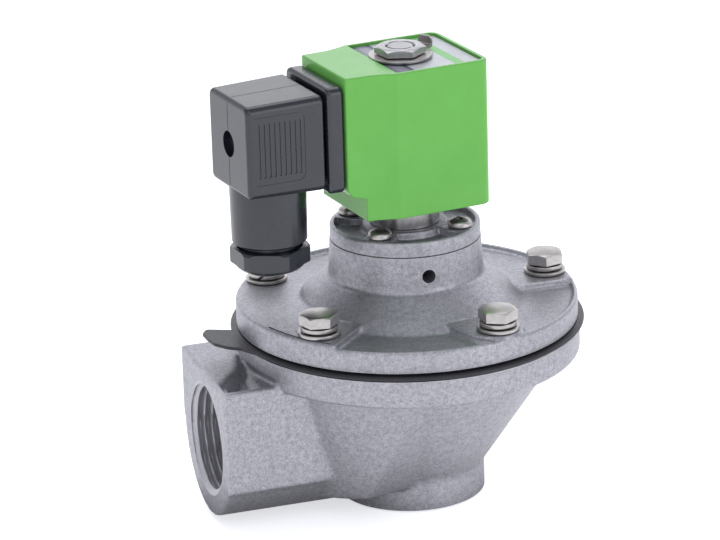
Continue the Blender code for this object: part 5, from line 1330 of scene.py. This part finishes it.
def cut_lines(box):
    """Nine finger grooves in a thin frame on each flank, and the mould's seam along the top and down the end."""
    half, deep = 0.42, 0.24
    cutters = [prism("groove", box_outline(x - half, x + half, 107.0, 122.9, 0.4, 3), -deep, 2.0, "Y")
               for x in [3.4 + 1.56 * i for i in range(9)]]
    frame_line = prism("frame", box_outline(-8.0, 17.5, 104.9, 125.0, 2.4), -0.14, 2.0, "Y")
    combine(frame_line, prism("inner", box_outline(-9.0, 17.22, 105.18, 124.72, 2.2), -1.0, 3.0, "Y"))
    combine(frame_line, prism("open", box_outline(-12.0, 2.2, 100.0, 130.0, 0), -1.0, 3.0, "Y"))
    lines = melt(cutters + [frame_line])
    flank = Matrix.Translation((-54.5 * MM, 13.3 * MM, 0.0)) @ Matrix.Rotation(radians(1.45), 4, "Z")
    for side in (1.0, -1.0):
        tool = copy_of(lines, "tool", Matrix.Diagonal((1.0, side, 1.0, 1.0)) @ flank)
        if side < 0.0:
            tool.data.flip_normals()
        combine(box, tool)
    bpy.data.objects.remove(lines, do_unlink=True)
    rings = [[(x, y, z) for y, z in ((-0.14, low), (0.14, low), (0.14, PLUG_Z + 16.0), (-0.14, PLUG_Z + 16.0))]
             for x, low in ((-53.2, PLUG_Z + 13.37), (-31.0, PLUG_Z + 13.84))]
    combine(box, loft("seam", rings))
    return combine(box, prism("seam", box_outline(-55.5, -54.36, -0.14, 0.14, 0), PLUG_Z - 12.2, PLUG_Z + 12.2))


base_piece = plug_base()
on_coil(base_piece, "valve_body", "black_moulding", [BLACK], "connector_base", angle=30.0)
box_piece = cut_lines(plug_box())
on_coil(box_piece, "valve_body", "black_moulding", [BLACK], "connector_housing", angle=30.0)
print("connector box:", triangles(box_piece), "triangles")

# %% [markdown]
# The gland's nut squeezes a seal round the cable. Its hexagon stands with two flats along the box's end, above a
# short turned foot with the open mouth. The long screw that holds the connector has a plain slot. Both are small, so
# each is drawn upright at the origin and moved to its place.

# %% Gland nut and screw
def gland_cap():
    cap = prism("gland_cap", hexagon(20.9, 30.0, 0.5), 77.7, 82.5)
    limit = turned("limit", [(0, 75.0), (11.5, 75.0), (11.55, 81.9), (10.95, 82.5), (10.95, 84.0), (0, 84.0)], 96)
    combine(cap, limit, "INTERSECT")
    bevel(cap, 0.25, 2, 35.0)
    combine(cap, turned("foot", [(0, 76.1), (9.0, 76.1), (9.9, 77.0), (9.9, 78.3), (0, 78.3)], 96), "UNION")
    combine(cap, rod("thread", 9.5, 77.5, 84.0, steps=64))
    combine(cap, rod("mouth", 5.2, 75.0, 79.0, steps=64))
    cap.data.transform(Matrix.Translation((GLAND_X * MM, 0.0, 0.0)))
    return cap


def long_screw():
    screw = turned("long_screw", [(0, -22.5), (1.5, -22.5), (1.5, 0), (2.9, 0), (2.9, 1.3), (2.4, 2.2), (0, 2.3)], 64)
    combine(screw, prism("slot", box_outline(-4.0, 4.0, -0.4, 0.4, 0), 1.2, 4.0))
    bevel(screw, 0.08, 2, 40.0)
    screw.data.transform(Matrix.Translation((-48.8 * MM, 0.0, PLUG_Z * MM)) @ Matrix.Rotation(radians(-90), 4, "Y"))
    return screw


on_coil(gland_cap(), "valve_body", "black_moulding", [BLACK], "gland_nut", angle=30.0)
on_coil(long_screw(), "valve_body", "bright_steel", [BRIGHT], "connector_screw", angle=30.0)
print("pieces handed over:", len(made))

# %% [markdown]
# ## Springs
#
# Three springs close the valve's stages: one on the main diaphragm, one on the pilot disc and one on the plunger.
# Each is wound here from round wire with ends that lie flat, as long as the CAD's spring. Nothing here squashes it as
# its stage lifts, so the disc under it would rise through its wire.

# %% Springs
def wound_spring(name, radius, wire, low, high, turns, steps=40, sides=10):
    rows = []
    count = int(turns * steps)
    for index in range(count + 1):
        share = index / count
        eased = share * share * (3.0 - 2.0 * share)
        level = low + wire + (high - low - 2.0 * wire) * (0.4 * share + 0.6 * eased)
        turn = tau * index / steps
        section = [(radius + wire * cos(tau * i / sides), level + wire * sin(tau * i / sides)) for i in range(sides)]
        rows.append([(reach * cos(turn), reach * sin(turn), height) for reach, height in section])
    return loft(name, rows)


# name, CAD node, joint, its lift, radius of the coil, radius of the wire, turns
SPRINGS = (("closing_spring", "main_spring", "diaphragm_lift", 6.0, 11.5, 0.6, 4.0),
           ("pilot_return_spring", "pilot_spring", "pilot_lift", 1.0, 5.4, 0.25, 2.5),
           ("plunger_return_spring", "plunger_spring", "plunger_lift", 1.6, 2.3, 0.25, 5.0))
for name, cad, joint, lift, radius, wire, turns in SPRINGS:
    foot, head = (corner.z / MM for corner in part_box(cad))
    piece = wound_spring(name, radius, wire, foot, head, turns)
    hand_over(piece, "valve_body", "spring_steel", [SPRING], cad, angle=60.0)
    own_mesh(piece)
    print(name, "is", round(head - foot, 2), "mm long and gives way by", lift)

# %% [markdown]
# ## Hidden pieces
#
# Plunger, windings, terminals and the rest keep their CAD shapes. They show when the valve is opened or
# looked into, so each takes the full material of its own finish from the record's slots.

# %% Materials of the CAD pieces
BY_SLOT = {"cast_aluminium": CAST, "black_rubber": RUBBER, "bright_steel": BRIGHT, "plain_steel": PLAIN,
           "spring_steel": SPRING, "green_moulding": GREEN, "black_moulding": BLACK, "copper": COPPER, "brass": BRASS,
           "label_silver": SILVER, "bobbin_moulding": BOBBIN}
slot_of = {part["node"]: part["material_slot"] for part in frame["record"]["subparts"]}
dressed = 0
for name, piece in frame["nodes"].items():
    for index in range(len(piece.material_slots)):
        piece.material_slots[index].material = BY_SLOT[slot_of[name]]
        dressed += 1
print("CAD pieces dressed:", dressed)

# %% [markdown]
# ## Sizes
#
# A dressed piece that has grown or slipped is easy to miss in a picture, and its box should agree with the CAD
# model's to a fraction of a millimetre. This cell only brings the scene up to date.

# %% Sizes
bpy.context.view_layer.update()
